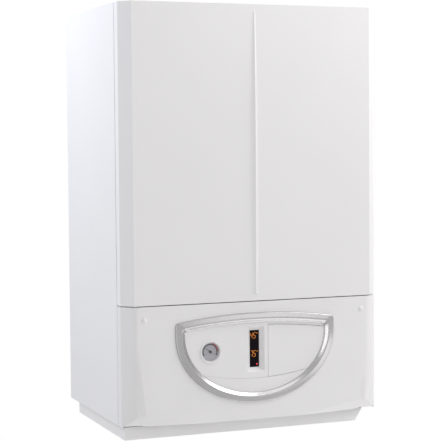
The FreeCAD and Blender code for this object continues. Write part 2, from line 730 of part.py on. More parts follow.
def front_cover():
    """Upper front shell with its rib, lips and the pegs that hold it on the frame."""
    shell = upright(folded(cover_line(), SHEET), COVER_LOW_Z, HEIGHT)
    floor = upright(cover_line(), COVER_LOW_Z, COVER_LOW_Z + SHEET)
    roof = upright(cover_line(), UNDER_TOP, HEIGHT)
    lip_front = RETURN_BACK - SHEET
    upper_lip = box(-INNER, INNER, lip_front, RETURN_BACK, UNDER_TOP - LIP, UNDER_TOP)
    lower_lip = box(-INNER, INNER, lip_front, RETURN_BACK, COVER_LOW_Z, COVER_LOW_Z + SHEET + 2 * LIP)
    pegs = []
    for z in (UNDER_TOP - LIP / 2, COVER_LOW_Z + LIP):
        pegs += both_sides(rod(PEG_R, (PEG_X, lip_front, z), (PEG_X, SIDE_FRONT + PEG_LENGTH, z)))
    rib = cover_rib()
    return join([shell, floor, roof, upper_lip, lower_lip, rib] + pegs).cut(rib.translated(V(0, SHEET, 0)))


def outer_side(points, inset):
    """Large block on the front side of the plane through three points, moved back by inset."""
    a, b, c = points
    normal = (b - a).cross(c - a).normalize()
    if normal.y > 0:
        normal = normal * -1
    block = Part.makeBox(2 * WIDTH, 2 * WIDTH, WIDTH, V(-WIDTH, -WIDTH, 0))
    block.Placement = FreeCAD.Placement(a - normal * inset, FreeCAD.Rotation(V(0, 0, 1), normal))
    return block


def panel_block(inset):
    """Lower panel as a full block, each face moved inwards by inset."""
    block = upright(parallel(cover_line(), inset), inset, LOWER_HEIGHT - inset)
    corner = V(HALF - BEVEL_INSET, FRONT, BEVEL_RISE)
    end = V(HALF, SHOULDER, 0)
    bevel = outer_side([V(BEVEL_START, FRONT, 0), corner, end], inset)
    spread = outer_side([V(HALF - CHAMFER_WIDTH, FRONT, SPREAD_HEIGHT), corner, end], inset)
    for cutter in both_sides(bevel) + both_sides(spread):
        block = block.cut(cutter)
    return block


def pivot_lugs(block):
    """Two lugs on each side of a pivot ear, trimmed to the panel's outer faces."""
    lugs = []
    for side in (-1, 1):
        x = PIVOT_X + side * (EAR_WIDTH / 2 + LUG_GAP + EAR_WIDTH / 2)
        x0 = x - EAR_WIDTH / 2
        x1 = x + EAR_WIDTH / 2
        arm = box(x0, x1, FRONT, PIVOT_Y, PIVOT_Z - EAR_R, PIVOT_Z + EAR_R)
        lug = join([arm, rod(EAR_R, (x0, PIVOT_Y, PIVOT_Z), (x1, PIVOT_Y, PIVOT_Z))]).common(block)
        lug = lug.cut(rod(PIVOT_PIN_R, (x0, PIVOT_Y, PIVOT_Z), (x1, PIVOT_Y, PIVOT_Z)))
        lugs += both_sides(lug)
    return lugs


def lower_panel():
    """Moulded lower front with bevelled corners, the half-moon opening and pivot lugs."""
    block = panel_block(0)
    shell = block.cut(panel_block(PANEL_WALL))
    inside = HALF - PANEL_WALL
    shell = shell.cut(box(-inside, inside, FRONT + BOTTOM_LIP, RETURN_BACK, 0, PANEL_WALL))
    shell = shell.cut(moon_plate(RING_WIDTH - FASCIA_LAP - SLIP, FRONT, PANEL_INSIDE))
    x = FIXING_X
    for hole in both_sides(rod(CAP_STEM_R + SLIP, (x, FRONT, FIXING_Z), (x, PANEL_INSIDE, FIXING_Z))):
        shell = shell.cut(hole)
    return join([shell] + pivot_lugs(block))


def fixing_caps():
    """Domed plugs over the two fixings of the lower panel."""
    x = FIXING_X
    radius = (CAP_R ** 2 + CAP_RISE ** 2) / (2 * CAP_RISE)
    ball = Part.makeSphere(radius, V(x, FRONT - CAP_RISE + radius, FIXING_Z))
    dome = ball.common(box(x - CAP_R, x + CAP_R, FRONT - CAP_RISE, FRONT, FIXING_Z - CAP_R, FIXING_Z + CAP_R))
    stem = rod(CAP_STEM_R, (x, FRONT, FIXING_Z), (x, PANEL_INSIDE, FIXING_Z))
    return Part.makeCompound(both_sides(join([dome, stem])))


def fixing_studs():
    """Captive studs that enter the crossbar tabs."""
    x = FIXING_X
    neck = PANEL_INSIDE + STUD_HEAD
    head = rod(STUD_HEAD_R, (x, PANEL_INSIDE, FIXING_Z), (x, neck, FIXING_Z))
    shank = rod(STUD_R, (x, neck, FIXING_Z), (x, TAB_BACK + STUD_TAIL, FIXING_Z))
    return Part.makeCompound(both_sides(join([head, shank])))


def pivot_pins():
    """Pins on which the lower panel tilts."""
    reach = 1.5 * EAR_WIDTH + LUG_GAP
    pin = rod(PIVOT_PIN_R, (PIVOT_X - reach, PIVOT_Y, PIVOT_Z), (PIVOT_X + reach, PIVOT_Y, PIVOT_Z))
    return Part.makeCompound(both_sides(pin))


def bezel_ring():
    """Raised half-moon frame with a steep outer edge, a long slope and an inner slope."""
    crest = FRONT - RING_HEIGHT
    outside = [
        moon(0, FRONT),
        moon(RING_SHOULDER, FRONT - RING_SHOULDER_RISE),
        moon(RING_CREST - RING_CREST_FLAT / 2, crest),
    ]
    inside = [
        moon(RING_WIDTH, FRONT),
        moon(RING_WIDTH - RING_INNER_STEP, FRONT - RING_INNER_RISE),
        moon(RING_CREST + RING_CREST_FLAT / 2, crest),
    ]
    return Part.makeLoft(outside, True, True).cut(Part.makeLoft(inside, True, True))


def funnel(growth):
    """Sloping recess around the display window, grown all round."""
    half_width = WINDOW_WIDTH / 2 + growth
    half_height = WINDOW_HEIGHT / 2 + growth
    wires = []
    for y, slope in ((FRONT, FUNNEL_SLOPE), (WINDOW_FRONT, 0)):
        x = half_width + slope
        z = half_height + slope
        low = DISPLAY_Z - z
        high = DISPLAY_Z + z
        corners = [V(-x, y, low), V(x, y, low), V(x, y, high), V(-x, y, high)]
        wires.append(Part.makePolygon(corners + corners[:1]))
    return Part.makeLoft(wires, True, True)


def fascia():
    """Plate inside the ring with the display recess, gauge hole, trim place and selector pocket."""
    plate = moon_plate(RING_WIDTH - FASCIA_LAP, FRONT, FASCIA_BACK)
    pocket = door_plate(REVEAL + POCKET_WALL, FASCIA_BACK, SELECTOR_FRONT)
    face = join([plate, pocket, funnel(FUNNEL_WALL)])
    face = face.cut(door_plate(REVEAL, FRONT, SELECTOR_FRONT)).cut(funnel(0))
    face = face.cut(moon_plate(RING_WIDTH, FRONT, FASCIA_BACK).cut(arc_disc(0, FRONT, FASCIA_BACK)))
    gauge_r = DIAL_R + SLIP + GAUGE_WALL + SLIP
    face = face.cut(rod(gauge_r, (GAUGE_X, FRONT, GAUGE_Z), (GAUGE_X, FASCIA_BACK, GAUGE_Z)))
    return face.cut(hinge_bore())


def lower_trim():
    """Plain crescent strip below the fascia's arc."""
    plate = moon_plate(RING_WIDTH + SLIP, FRONT - TRIM_PROUD, FASCIA_BACK)
    return plate.cut(arc_disc(SLIP, FRONT - TRIM_PROUD, FASCIA_BACK)).cut(hinge_bore())


def door_ends():
    """Lower and upper end of the door at its hinge, inside the pocket walls."""
    edge = door_plate(0, FRONT, FRONT + DOOR_THICKNESS)
    strip = edge.common(box(DOOR_LEFT_X, HINGE_X + BARREL_R, FRONT, FASCIA_BACK, 0, LOWER_HEIGHT))
    bounds = strip.BoundBox
    slope = MOON_TOP_R - math.sqrt(MOON_TOP_R ** 2 - (HINGE_X + BARREL_R) ** 2)
    return bounds.ZMin + slope, bounds.ZMax - slope


def hinge_bore():
    """Room for the door's hinge pins, which turn between the fascia and the trim."""
    low, high = door_ends()
    reach = HINGE_PIN + SLIP
    return rod(HINGE_PIN_R + RUN, (HINGE_X, HINGE_Y, low - reach), (HINGE_X, HINGE_Y, high + reach))


def control_door():
    """Door plate with a hinge barrel on its left edge and a pin at each end of the barrel."""
    plate = door_plate(0, FRONT, FRONT + DOOR_THICKNESS)
    plate = plate.cut(box(0, HINGE_X, FRONT, FASCIA_BACK, 0, LOWER_HEIGHT))
    low, high = door_ends()
    barrel = rod(BARREL_R, (HINGE_X, HINGE_Y, low), (HINGE_X, HINGE_Y, high))
    pin = rod(HINGE_PIN_R, (HINGE_X, HINGE_Y, low - HINGE_PIN), (HINGE_X, HINGE_Y, high + HINGE_PIN))
    return join([plate, barrel, pin])


def display_window():
    """Dark lens behind the display recess."""
    x = WINDOW_WIDTH / 2 + WINDOW_LAP
    z = WINDOW_HEIGHT / 2 + WINDOW_LAP
    return box(-x, x, WINDOW_FRONT, WINDOW_FRONT + WINDOW_THICKNESS, DISPLAY_Z - z, DISPLAY_Z + z)


def display_board():
    """Circuit board with its driver chip, behind the display window."""
    x = WINDOW_WIDTH / 2 + DISPLAY_BOARD_MARGIN
    z = WINDOW_HEIGHT / 2 + DISPLAY_BOARD_MARGIN
    front = WINDOW_FRONT + WINDOW_THICKNESS
    back = front + BOARD
    board = box(-x, x, front, back, DISPLAY_Z - z, DISPLAY_Z + z)
    chip = box(-CHIP, CHIP, back, back + CHIP / 2, DISPLAY_Z - 2 * CHIP, DISPLAY_Z + 2 * CHIP)
    return Part.makeCompound([board, chip])


def on_gauge(y):
    """Point on the gauge's axis."""
    return (GAUGE_X, y, GAUGE_Z)


def gauge_case():
    """Cup of the gauge with its raised bevelled rim."""
    bore = DIAL_R + SLIP
    back = FRONT + GAUGE_DEPTH
    rim_front = FRONT - GAUGE_RIM_PROUD
    rim = rod(GAUGE_RIM_R, on_gauge(rim_front), on_gauge(FRONT))
    cup = rod(bore + GAUGE_WALL, on_gauge(FRONT), on_gauge(back))
    case = join([rim, cup]).cut(rod(bore, on_gauge(rim_front), on_gauge(back - GAUGE_WALL)))
    mouth = Part.makeCone(bore + GAUGE_RIM_BEVEL, bore, GAUGE_RIM_PROUD, V(*on_gauge(rim_front)), V(0, 1, 0))
    return case.cut(mouth)


def gauge_dial():
    """Printed disc behind the needle."""
    front = FRONT + DIAL_DEPTH
    return ring(DIAL_R, NEEDLE_PIN_R + RUN, on_gauge(front), on_gauge(front + DIAL_THICKNESS))


def gauge_glass():
    """Clear disc in the mouth of the gauge."""
    return rod(DIAL_R, on_gauge(FRONT), on_gauge(FRONT + GLASS_THICKNESS))


def gauge_needle():
    """Tapered pointer on its hub and pin, turned to the pressure that it shows."""
    back = FRONT + DIAL_DEPTH - NEEDLE_LIFT
    front = back - NEEDLE_THICKNESS
    half = NEEDLE_WIDTH / 2
    outline = [(-NEEDLE_TAIL, -half), (0, -half), (NEEDLE_LENGTH, 0), (0, half), (-NEEDLE_TAIL, half)]
    blade = prism([V(GAUGE_X + x, front, GAUGE_Z + z) for x, z in outline], V(0, NEEDLE_THICKNESS, 0))
    blade.rotate(V(GAUGE_X, 0, GAUGE_Z), V(0, -1, 0), NEEDLE_ANGLE)
    hub = rod(NEEDLE_HUB_R, on_gauge(front - NEEDLE_THICKNESS), on_gauge(back))
    pin = rod(NEEDLE_PIN_R, on_gauge(back), on_gauge(back + NEEDLE_PIN))
    return join([blade, hub, pin])


def selector_knob(x):
    """Round knob with a finger bar and the spindle that turns its switch."""
    back = SELECTOR_FRONT - SLIP
    front = back - KNOB_HEIGHT
    grip_back = front + KNOB_GRIP_HEIGHT
    disc = rod(KNOB_R, (x, grip_back, KNOB_Z), (x, back, KNOB_Z))
    half = KNOB_GRIP_WIDTH / 2
    grip = box(x - half, x + half, front, grip_back, KNOB_Z - KNOB_R, KNOB_Z + KNOB_R)
    grip = grip.common(rod(KNOB_R, (x, front, KNOB_Z), (x, grip_back, KNOB_Z)))
    spindle = rod(SPINDLE_R, (x, back, KNOB_Z), (x, SELECTOR_FRONT + SPINDLE, KNOB_Z))
    return join([disc, grip, spindle])


def selector_board():
    """Plate that closes the pocket, with a rotary switch behind each knob."""
    back = SELECTOR_FRONT + SELECTOR_PLATE
    pieces = [door_plate(REVEAL + POCKET_WALL, SELECTOR_FRONT, back)]
    half = SELECTOR_BLOCK / 2
    for x in KNOB_XS:
        block_back = back + SELECTOR_BLOCK_DEPTH
        pieces.append(box(x - half, x + half, back, block_back, KNOB_Z - half, KNOB_Z + half))
    for x in KNOB_XS:
        end = SELECTOR_FRONT + SPINDLE + SLIP
        bore = rod(SPINDLE_R + RUN, (x, SELECTOR_FRONT, KNOB_Z), (x, end, KNOB_Z))
        pieces = [piece.cut(bore) for piece in pieces]
    return Part.makeCompound(pieces)


def board_posts():
    """Places of the four posts that hold the control board, as (x, z)."""
    x = BOX_HALF_WIDTH - BOARD_MARGIN
    return [(sx * x, z) for sx in (-1, 1) for z in (BOX_LOW_Z + BOARD_MARGIN, BOX_HIGH_Z - BOARD_MARGIN)]


def control_box():
    """Tub behind the lower panel, open towards the fascia, with posts for the board."""
    w = BOX_HALF_WIDTH
    t = BOX_WALL
    tub = box(-w, w, PANEL_INSIDE, BOX_BACK, BOX_LOW_Z, BOX_HIGH_Z)
    tub = tub.cut(box(-w + t, w - t, PANEL_INSIDE, BOX_BACK - t, BOX_LOW_Z + t, BOX_HIGH_Z - t))
    floor = BOX_BACK - t
    posts = [rod(POST_R, (x, floor, z), (x, floor - POST, z)) for x, z in board_posts()]
    return join([tub] + posts)


def control_board():
    """Main circuit board with its transformer, relays and capacitor."""
    back = BOX_BACK - BOX_WALL - POST
    front = back - BOARD
    x = BOX_HALF_WIDTH - BOARD_MARGIN + POST_R
    low = BOX_LOW_Z + BOARD_MARGIN - POST_R
    high = BOX_HIGH_Z - BOARD_MARGIN + POST_R
    pieces = [box(-x, x, front, back, low, high)]
    unit = BOARD_MARGIN
    pieces.append(box(-x + unit, -x + 3 * unit, front - unit, front, low + unit, low + 2.5 * unit))
    for i in range(4):
        left = i * unit
        pieces.append(box(left, left + unit / 2, front - unit / 2, front, low + unit / 2, low + 1.5 * unit))
    pieces.append(rod(unit / 3, (-x / 3, front - unit, high - unit), (-x / 3, front, high - unit)))
    return Part.makeCompound(pieces)


def sealed_chamber():
    """Sheet box around the burner side, open in front, on lugs that reach the back frame."""
    t = CHAMBER_SHEET
    shell = box(CHAMBER_LEFT, CHAMBER_RIGHT, CHAMBER_FRONT, CHAMBER_BACK, CHAMBER_LOW_Z, CHAMBER_HIGH_Z)
    shell = shell.cut(box(CHAMBER_LEFT + t, CHAMBER_RIGHT - t, CHAMBER_FRONT, CHAMBER_BACK - t,
                          CHAMBER_LOW_Z + t, CHAMBER_HIGH_Z - t))
    lugs = []
    for x in (CHAMBER_LEFT, CHAMBER_RIGHT - CHAMBER_LUG_WIDTH):
        for z in (CHAMBER_LOW_Z, CHAMBER_HIGH_Z - CHAMBER_LUG_HEIGHT):
            lugs.append(box(x, x + CHAMBER_LUG_WIDTH, CHAMBER_BACK, -BACK_SHEET, z, z + CHAMBER_LUG_HEIGHT))
    shell = join([shell] + lugs)
    floor_holes = ((FLOW_X, PIPE_Y, HEATING_R), (RISE_X, PIPE_Y, LINK_R), (ENGINE_X, ENGINE_Y, GAS_R))
    for x, y, radius in floor_holes:
        shell = shell.cut(rod(radius + SLIP, (x, y, CHAMBER_LOW_Z), (x, y, CHAMBER_LOW_Z + t)))
    return shell.cut(flue_rod(AIR_R, CHAMBER_HIGH_Z - t, CHAMBER_HIGH_Z))


def chamber_cover():
    """Plate that closes the sealed chamber in front."""
    return box(CHAMBER_LEFT, CHAMBER_RIGHT, CHAMBER_FRONT - CHAMBER_COVER, CHAMBER_FRONT,
               CHAMBER_LOW_Z, CHAMBER_HIGH_Z)


def electrode_places():
    """Places of the two electrodes along the width, and their height."""
    z = BLADE_HIGH_Z + ELECTRODE_LIFT
    return [(ENGINE_X + side * ELECTRODE_SPACING / 2, z) for side in (-1, 1)]


def fire_shell(wall, z0, z1):
    """Four upright walls on the outline of the fire box, open below and above."""
    block = box(FIRE_LEFT, FIRE_RIGHT, FIRE_FRONT, FIRE_BACK, z0, z1)
    return block.cut(box(FIRE_LEFT + wall, FIRE_RIGHT - wall, FIRE_FRONT + wall, FIRE_BACK - wall, z0, z1))


def combustion_chamber():
    """Insulated fire box on two legs, open below and above."""
    w = FIRE_WALL
    walls = fire_shell(w, FIRE_LOW_Z, FIRE_HIGH_Z)
    floor = CHAMBER_LOW_Z + CHAMBER_SHEET
    legs = [box(x, x + w, FIRE_FRONT, FIRE_BACK, floor, FIRE_LOW_Z) for x in (FIRE_LEFT, FIRE_RIGHT - w)]
    fire_box = join([walls] + legs)
    for x, z in electrode_places():
        fire_box = fire_box.cut(rod(ELECTRODE_BODY_R + SLIP, (x, FIRE_FRONT, z), (x, FIRE_FRONT + w, z)))
    return fire_box


def burner():
    """Row of burner blades above a gas manifold with one injector for each blade."""
    left = FIRE_LEFT + FIRE_WALL
    right = FIRE_RIGHT - FIRE_WALL
    pitch = (right - left) / BLADES
    blades = []
    injectors = []
    for i in range(BLADES):
        x = left + (i + 0.5) * pitch
        blade = box(x - BLADE_WIDTH / 2, x + BLADE_WIDTH / 2, FIRE_FRONT + FIRE_WALL,
                    FIRE_BACK - FIRE_WALL, BLADE_LOW_Z, BLADE_HIGH_Z)
        blades.append(blade)
        injectors.append(rod(INJECTOR_R, (x, ENGINE_Y, MANIFOLD_Z), (x, ENGINE_Y, BLADE_LOW_Z)))
    manifold = rod(MANIFOLD_R, (left, ENGINE_Y, MANIFOLD_Z), (right, ENGINE_Y, MANIFOLD_Z))
    socket = rod(SOCKET_R, (ENGINE_X, ENGINE_Y, MANIFOLD_Z - SOCKET), (ENGINE_X, ENGINE_Y, MANIFOLD_Z))
    return Part.makeCompound(blades + [join([manifold, socket] + injectors)])


def ignition_electrodes():
    """Ceramic bodies through the fire box wall with their metal tips above the burner."""
    electrodes = []
    for x, z in electrode_places():
        start = FIRE_FRONT + FIRE_WALL - ELECTRODE_BODY
        neck = FIRE_FRONT + FIRE_WALL + 2 * SLIP
        body = rod(ELECTRODE_BODY_R, (x, start, z), (x, neck, z))
        tip = rod(ELECTRODE_R, (x, neck, z), (x, neck + ELECTRODE, z))
        electrodes.append(join([body, tip]))
    return Part.makeCompound(electrodes)


def heat_exchanger():
    """Finned tube block on top of the fire box."""
    w = EXCHANGER_WALL
    frame = fire_shell(w, FIRE_HIGH_Z, EXCHANGER_HIGH_Z)
    inside = FIRE_BACK - FIRE_FRONT - 2 * w
    tubes = []
    for i in range(EXCHANGER_TUBES):
        y = FIRE_FRONT + w + (i + 0.5) * inside / EXCHANGER_TUBES
        tubes.append(rod(EXCHANGER_TUBE_R, (FIRE_LEFT + w, y, EXCHANGER_Z), (FIRE_RIGHT - w, y, EXCHANGER_Z)))
    pitch = (FIRE_RIGHT - FIRE_LEFT - 2 * w) / (FINS + 1)
    fins = []
    for i in range(FINS):
        x = FIRE_LEFT + w + (i + 1) * pitch
        fins.append(box(x - FIN / 2, x + FIN / 2, FIRE_FRONT + w, FIRE_BACK - w,
                        FIRE_HIGH_Z + FIN_MARGIN, EXCHANGER_HIGH_Z - FIN_MARGIN))
    return join([frame] + tubes + fins)


def flue_hood():
    """Sheet hood that narrows from the heat exchanger to the fan."""
    t = HOOD_SHEET
    low = (FIRE_LEFT, FIRE_RIGHT, FIRE_FRONT, FIRE_BACK, EXCHANGER_HIGH_Z)
    high = (ENGINE_X - FAN_R, ENGINE_X + FAN_R, FAN_FRONT, FAN_FRONT + FAN_DEPTH, HOOD_HIGH_Z)
    thin_low = (low[0] + t, low[1] - t, low[2] + t, low[3] - t, low[4])
    thin_high = (high[0] + t, high[1] - t, high[2] + t, high[3] - t, high[4])
    return rectangle_loft(low, high).cut(rectangle_loft(thin_low, thin_high))


def flue_rod(radius, z0, z1):
    """Round bar on the upright axis of the flue."""
    return rod(radius, (ENGINE_X, ENGINE_Y, z0), (ENGINE_X, ENGINE_Y, z1))


def on_fan(y):
    """Point on the fan's axis."""
    return (ENGINE_X, y, FAN_Z)


def fan_housing():
    """Round fan case on a square foot, with an inlet below and an outlet spigot above."""
    back = FAN_FRONT + FAN_DEPTH
    foot = box(ENGINE_X - FAN_R, ENGINE_X + FAN_R, FAN_FRONT, back, HOOD_HIGH_Z, FAN_Z)
    spigot = flue_rod(FLUE_R, FAN_Z, SPIGOT_Z)
    case = join([rod(FAN_R, on_fan(FAN_FRONT), on_fan(back)), foot, spigot])
    case = case.cut(rod(FAN_R - FAN_WALL, on_fan(FAN_FRONT + FAN_WALL), on_fan(back - FAN_WALL)))
    inlet_x = ENGINE_X - FAN_INLET_WIDTH / 2
    inlet_y = ENGINE_Y - FAN_INLET_DEPTH / 2
    inlet = box(inlet_x, inlet_x + FAN_INLET_WIDTH, inlet_y, inlet_y + FAN_INLET_DEPTH, HOOD_HIGH_Z, FAN_Z)
    case = case.cut(inlet)
    case = case.cut(flue_rod(FLUE_BORE_R - FLUE_WALL, FAN_Z, SPIGOT_Z))
    return case.cut(rod(FAN_SHAFT_R + RUN, on_fan(FAN_FRONT), on_fan(FAN_FRONT + FAN_WALL)))


def fan_motor():
    """Motor in front of the fan case, with the bearing bore of its shaft."""
    motor = rod(FAN_MOTOR_R, on_fan(FAN_FRONT - FAN_MOTOR), on_fan(FAN_FRONT))
    return motor.cut(rod(FAN_SHAFT_R + RUN, on_fan(FAN_FRONT - FAN_SHAFT - SLIP), on_fan(FAN_FRONT)))


def fan_impeller():
    """Bladed wheel with its shaft."""
    disc_front = ENGINE_Y - IMPELLER_BLADE / 2
    blade_front = disc_front + IMPELLER_DISC
    disc = rod(IMPELLER_R, on_fan(disc_front), on_fan(blade_front))
    shaft = rod(FAN_SHAFT_R, on_fan(FAN_FRONT - FAN_SHAFT), on_fan(disc_front))
    blades = []
    for i in range(IMPELLER_BLADES):
        half = IMPELLER_BLADE_SHEET / 2
        blade = box(ENGINE_X - half, ENGINE_X + half, blade_front, blade_front + IMPELLER_BLADE,
                    FAN_Z + IMPELLER_R - IMPELLER_BLADE_WIDTH, FAN_Z + IMPELLER_R - half)
        blade.rotate(V(*on_fan(0)), V(0, 1, 0), i * 360 / IMPELLER_BLADES)
        blades.append(blade)
    return join([disc, shaft] + blades)


def flue_pipe():
    """Exhaust socket from the fan's spigot to the top of the casing."""
    return flue_rod(FLUE_R, SPIGOT_Z, COLLAR_TOP_Z).cut(flue_rod(FLUE_BORE_R, SPIGOT_Z, COLLAR_TOP_Z))


def air_collar():
    """Flanged collar on the top panel for the outer air pipe."""
    flange = flue_rod(COLLAR_FLANGE_R, HEIGHT, HEIGHT + COLLAR_FLANGE)
    collar = flue_rod(COLLAR_R, HEIGHT, COLLAR_TOP_Z)
    return join([flange, collar]).cut(flue_rod(AIR_R, HEIGHT, COLLAR_TOP_Z))


def expansion_vessel():
    """Flat round hollow vessel on a pad at the back frame, with a nipple below."""
    front = (ENGINE_X, VESSEL_FRONT, VESSEL_Z)
    back = (ENGINE_X, VESSEL_BACK, VESSEL_Z)
    shell = hollow_drum(VESSEL_R, VESSEL_ROUND, VESSEL_WALL, front, back)
    pad = rod(VESSEL_PAD_R, (ENGINE_X, VESSEL_BACK, VESSEL_Z), (ENGINE_X, -BACK_SHEET, VESSEL_Z))
    end = VESSEL_Z - VESSEL_R - NIPPLE
    nipple = rod(VESSEL_PIPE_R, (ENGINE_X, VESSEL_Y, end), (ENGINE_X, VESSEL_Y, end + NIPPLE + VESSEL_WALL))
    return join([shell, pad, nipple])


def on_tank(dx, dy, z):
    """Point beside the tank's axis."""
    return (TANK_X + dx, TANK_Y + dy, z)


def storage_tank():
    """Hollow hot water tank with its flange hole, inlet and outlet."""
    low = on_tank(0, 0, TANK_LOW_Z)
    high = on_tank(0, 0, TANK_HIGH_Z)
    tank = hollow_drum(TANK_R, TANK_ROUND, TANK_WALL, low, high)
    bore = WATER_R - PIPE_WALL
    holes = (
        (TANK_HOLE_R, 0, 0, TANK_HIGH_Z - TANK_WALL),
        (bore, HOT_PORT_X, HOT_PORT_Y, TANK_HIGH_Z - TANK_WALL),
        (bore, 0, PORT_CIRCLE, TANK_LOW_Z),
    )
    for radius, dx, dy, z in holes:
        tank = tank.cut(rod(radius, on_tank(dx, dy, z), on_tank(dx, dy, z + TANK_WALL)))
    return tank


def tank_flange():
    """Cover of the tank's opening, with the anode that hangs from it."""
    top = TANK_HIGH_Z + TANK_FLANGE
    flange = rod(TANK_FLANGE_R, on_tank(0, 0, TANK_HIGH_Z), on_tank(0, 0, top))
    nut = rod(ANODE_NUT_R, on_tank(0, 0, top), on_tank(0, 0, top + ANODE_NUT))
    anode = rod(ANODE_R, on_tank(0, 0, TANK_HIGH_Z - ANODE), on_tank(0, 0, TANK_HIGH_Z))
    return join([flange, nut, anode])


def heating_flow_pipe():
    """Flow from the heat exchanger down to its connection stub."""
    points = [
        (FLOW_X, PIPE_Y, STUB_END_Z),
        (FLOW_X, PIPE_Y, EXCHANGER_Z),
        (FLOW_X, FIRE_BACK, EXCHANGER_Z),
    ]
    return service_pipe(points, HEATING_R, LARGE_STUB_R)


def heating_return_pipe():
    """Return from its connection stub up to the pump."""
    points = [(RETURN_X, PIPE_Y, STUB_END_Z), (RETURN_X, PIPE_Y, PUMP_Z - PUMP_R - PORT)]
    return service_pipe(points, HEATING_R, LARGE_STUB_R)


def pump_delivery_pipe():
    """Pipe from the pump across the boiler and up to the heat exchanger."""
    points = [
        (RETURN_X - PUMP_R - PORT, PIPE_Y, PUMP_Z),
        (RISE_X, PIPE_Y, PUMP_Z),
        (RISE_X, PIPE_Y, EXCHANGER_Z),
        (RISE_X, FIRE_BACK, EXCHANGER_Z),
    ]
    return pipe(points, LINK_R)


def cold_water_pipe():
    """Cold supply from its connection stub to the bottom of the tank."""
    inlet_y = TANK_Y + PORT_CIRCLE
    points = [
        (COLD_X, PIPE_Y, STUB_END_Z),
        (COLD_X, PIPE_Y, LOW_RUN_Z),
        (COLD_X, inlet_y, LOW_RUN_Z),
        (COLD_X, inlet_y, TANK_LOW_Z),
    ]
    return service_pipe(points, WATER_R, SMALL_STUB_R)


def hot_water_pipe():
    """Hot water from the top of the tank down to its connection stub."""
    outlet_x, outlet_y, rise_z = on_tank(HOT_PORT_X, HOT_PORT_Y, TANK_HIGH_Z + HOT_RISE)
    points = [
        (HOT_X, PIPE_Y, STUB_END_Z),
        (HOT_X, PIPE_Y, LOW_RUN_Z),
        (HOT_X, outlet_y, LOW_RUN_Z),
        (HOT_SLOT_X, outlet_y, LOW_RUN_Z),
        (HOT_SLOT_X, outlet_y, rise_z),
        (outlet_x, outlet_y, rise_z),
        (outlet_x, outlet_y, TANK_HIGH_Z),
    ]
    return service_pipe(points, WATER_R, SMALL_STUB_R)


def gas_pipes():
    """Gas inlet up to the gas valve, and the pipe from the valve to the burner's manifold."""
    inlet = service_pipe([
        (GAS_X, PIPE_Y, STUB_END_Z),
        (GAS_X, PIPE_Y, LOW_RUN_Z),
        (GAS_X, ENGINE_Y, LOW_RUN_Z),
        (GAS_X, ENGINE_Y, GAS_VALVE_LOW_Z),
    ], GAS_R, LARGE_STUB_R)
    riser = pipe([
        (GAS_X, ENGINE_Y, GAS_VALVE_HIGH_Z),
        (GAS_X, ENGINE_Y, GAS_RUN_Z),
        (ENGINE_X, ENGINE_Y, GAS_RUN_Z),
        (ENGINE_X, ENGINE_Y, MANIFOLD_Z - SOCKET),
    ], GAS_R)
    return Part.makeCompound([inlet, riser])


def circuit_pipes():
    """Short pipes: diverter to plate exchanger, exchanger to return, and vessel to delivery."""
    to_plates = pipe([
        (DIVERTER_RIGHT, PIPE_Y, LINK_Z),
        (LINK_TURN_X, PIPE_Y, LINK_Z),
        (LINK_TURN_X + LINK_Y - PIPE_Y, LINK_Y, LINK_Z),
        (PLATE_LEFT_X, LINK_Y, LINK_Z),
    ], WATER_R, bend=WATER_R * 2)
    from_plates = pipe([
        (PLATE_RIGHT_X, PLATE_RETURN_Y, PLATE_RETURN_Z),
        (RETURN_X, PLATE_RETURN_Y, PLATE_RETURN_Z),
        (RETURN_X, PIPE_Y + HEATING_R + SLIP, PLATE_RETURN_Z),
    ], WATER_R, bend=WATER_R * 2)
    to_vessel = pipe([
        (ENGINE_X, VESSEL_Y, VESSEL_Z - VESSEL_R - NIPPLE),
        (ENGINE_X, VESSEL_Y, VESSEL_RUN_Z),
        (ENGINE_X, PIPE_Y, VESSEL_RUN_Z),
        (RISE_X - LINK_R - SLIP, PIPE_Y, VESSEL_RUN_Z),
    ], VESSEL_PIPE_R)
    return Part.makeCompound([to_plates, from_plates, to_vessel])


def on_pump(y):
    """Point on the pump's axis."""
    return (RETURN_X, y, PUMP_Z)


def pump_housing():
    """Pump volute with its suction port below and its delivery port at the left."""
    volute = rod(PUMP_R, on_pump(PUMP_FRONT), on_pump(PUMP_BACK))
    centre = on_pump(PIPE_Y)
    below = (RETURN_X, PIPE_Y, PUMP_Z - PUMP_R - PORT)
    beside = (RETURN_X - PUMP_R - PORT, PIPE_Y, PUMP_Z)
    suction = rod(PORT_R, below, centre)
    delivery = rod(PORT_R, beside, centre)
    housing = join([volute, suction, delivery])
    housing = housing.cut(rod(PUMP_CAVITY_R, on_pump(PUMP_FRONT), on_pump(PUMP_BACK - PUMP_BACK_WALL)))
    housing = housing.cut(rod(HEATING_R - PIPE_WALL, below, centre))
    return housing.cut(rod(LINK_R - PIPE_WALL, beside, centre))


def pump_motor():
    """Motor can on a flange that closes the volute, with the bearing bore of the shaft."""
    neck = PUMP_FRONT - PUMP_FLANGE
    flange = rod(PUMP_R, on_pump(neck), on_pump(PUMP_FRONT))
    can = rod(PUMP_MOTOR_R, on_pump(neck - PUMP_MOTOR), on_pump(neck))
    bore = rod(PUMP_SHAFT_R + RUN, on_pump(PUMP_FRONT - PUMP_SHAFT - SLIP), on_pump(PUMP_FRONT))
    return join([flange, can]).cut(bore)


def pump_rotor():
    """Pump wheel with its shaft."""
    wheel_front = PUMP_FRONT + PUMP_WHEEL_GAP
    wheel = rod(PUMP_WHEEL_R, on_pump(wheel_front), on_pump(wheel_front + PUMP_WHEEL))
    shaft = rod(PUMP_SHAFT_R, on_pump(PUMP_FRONT - PUMP_SHAFT), on_pump(wheel_front))
    return join([wheel, shaft])


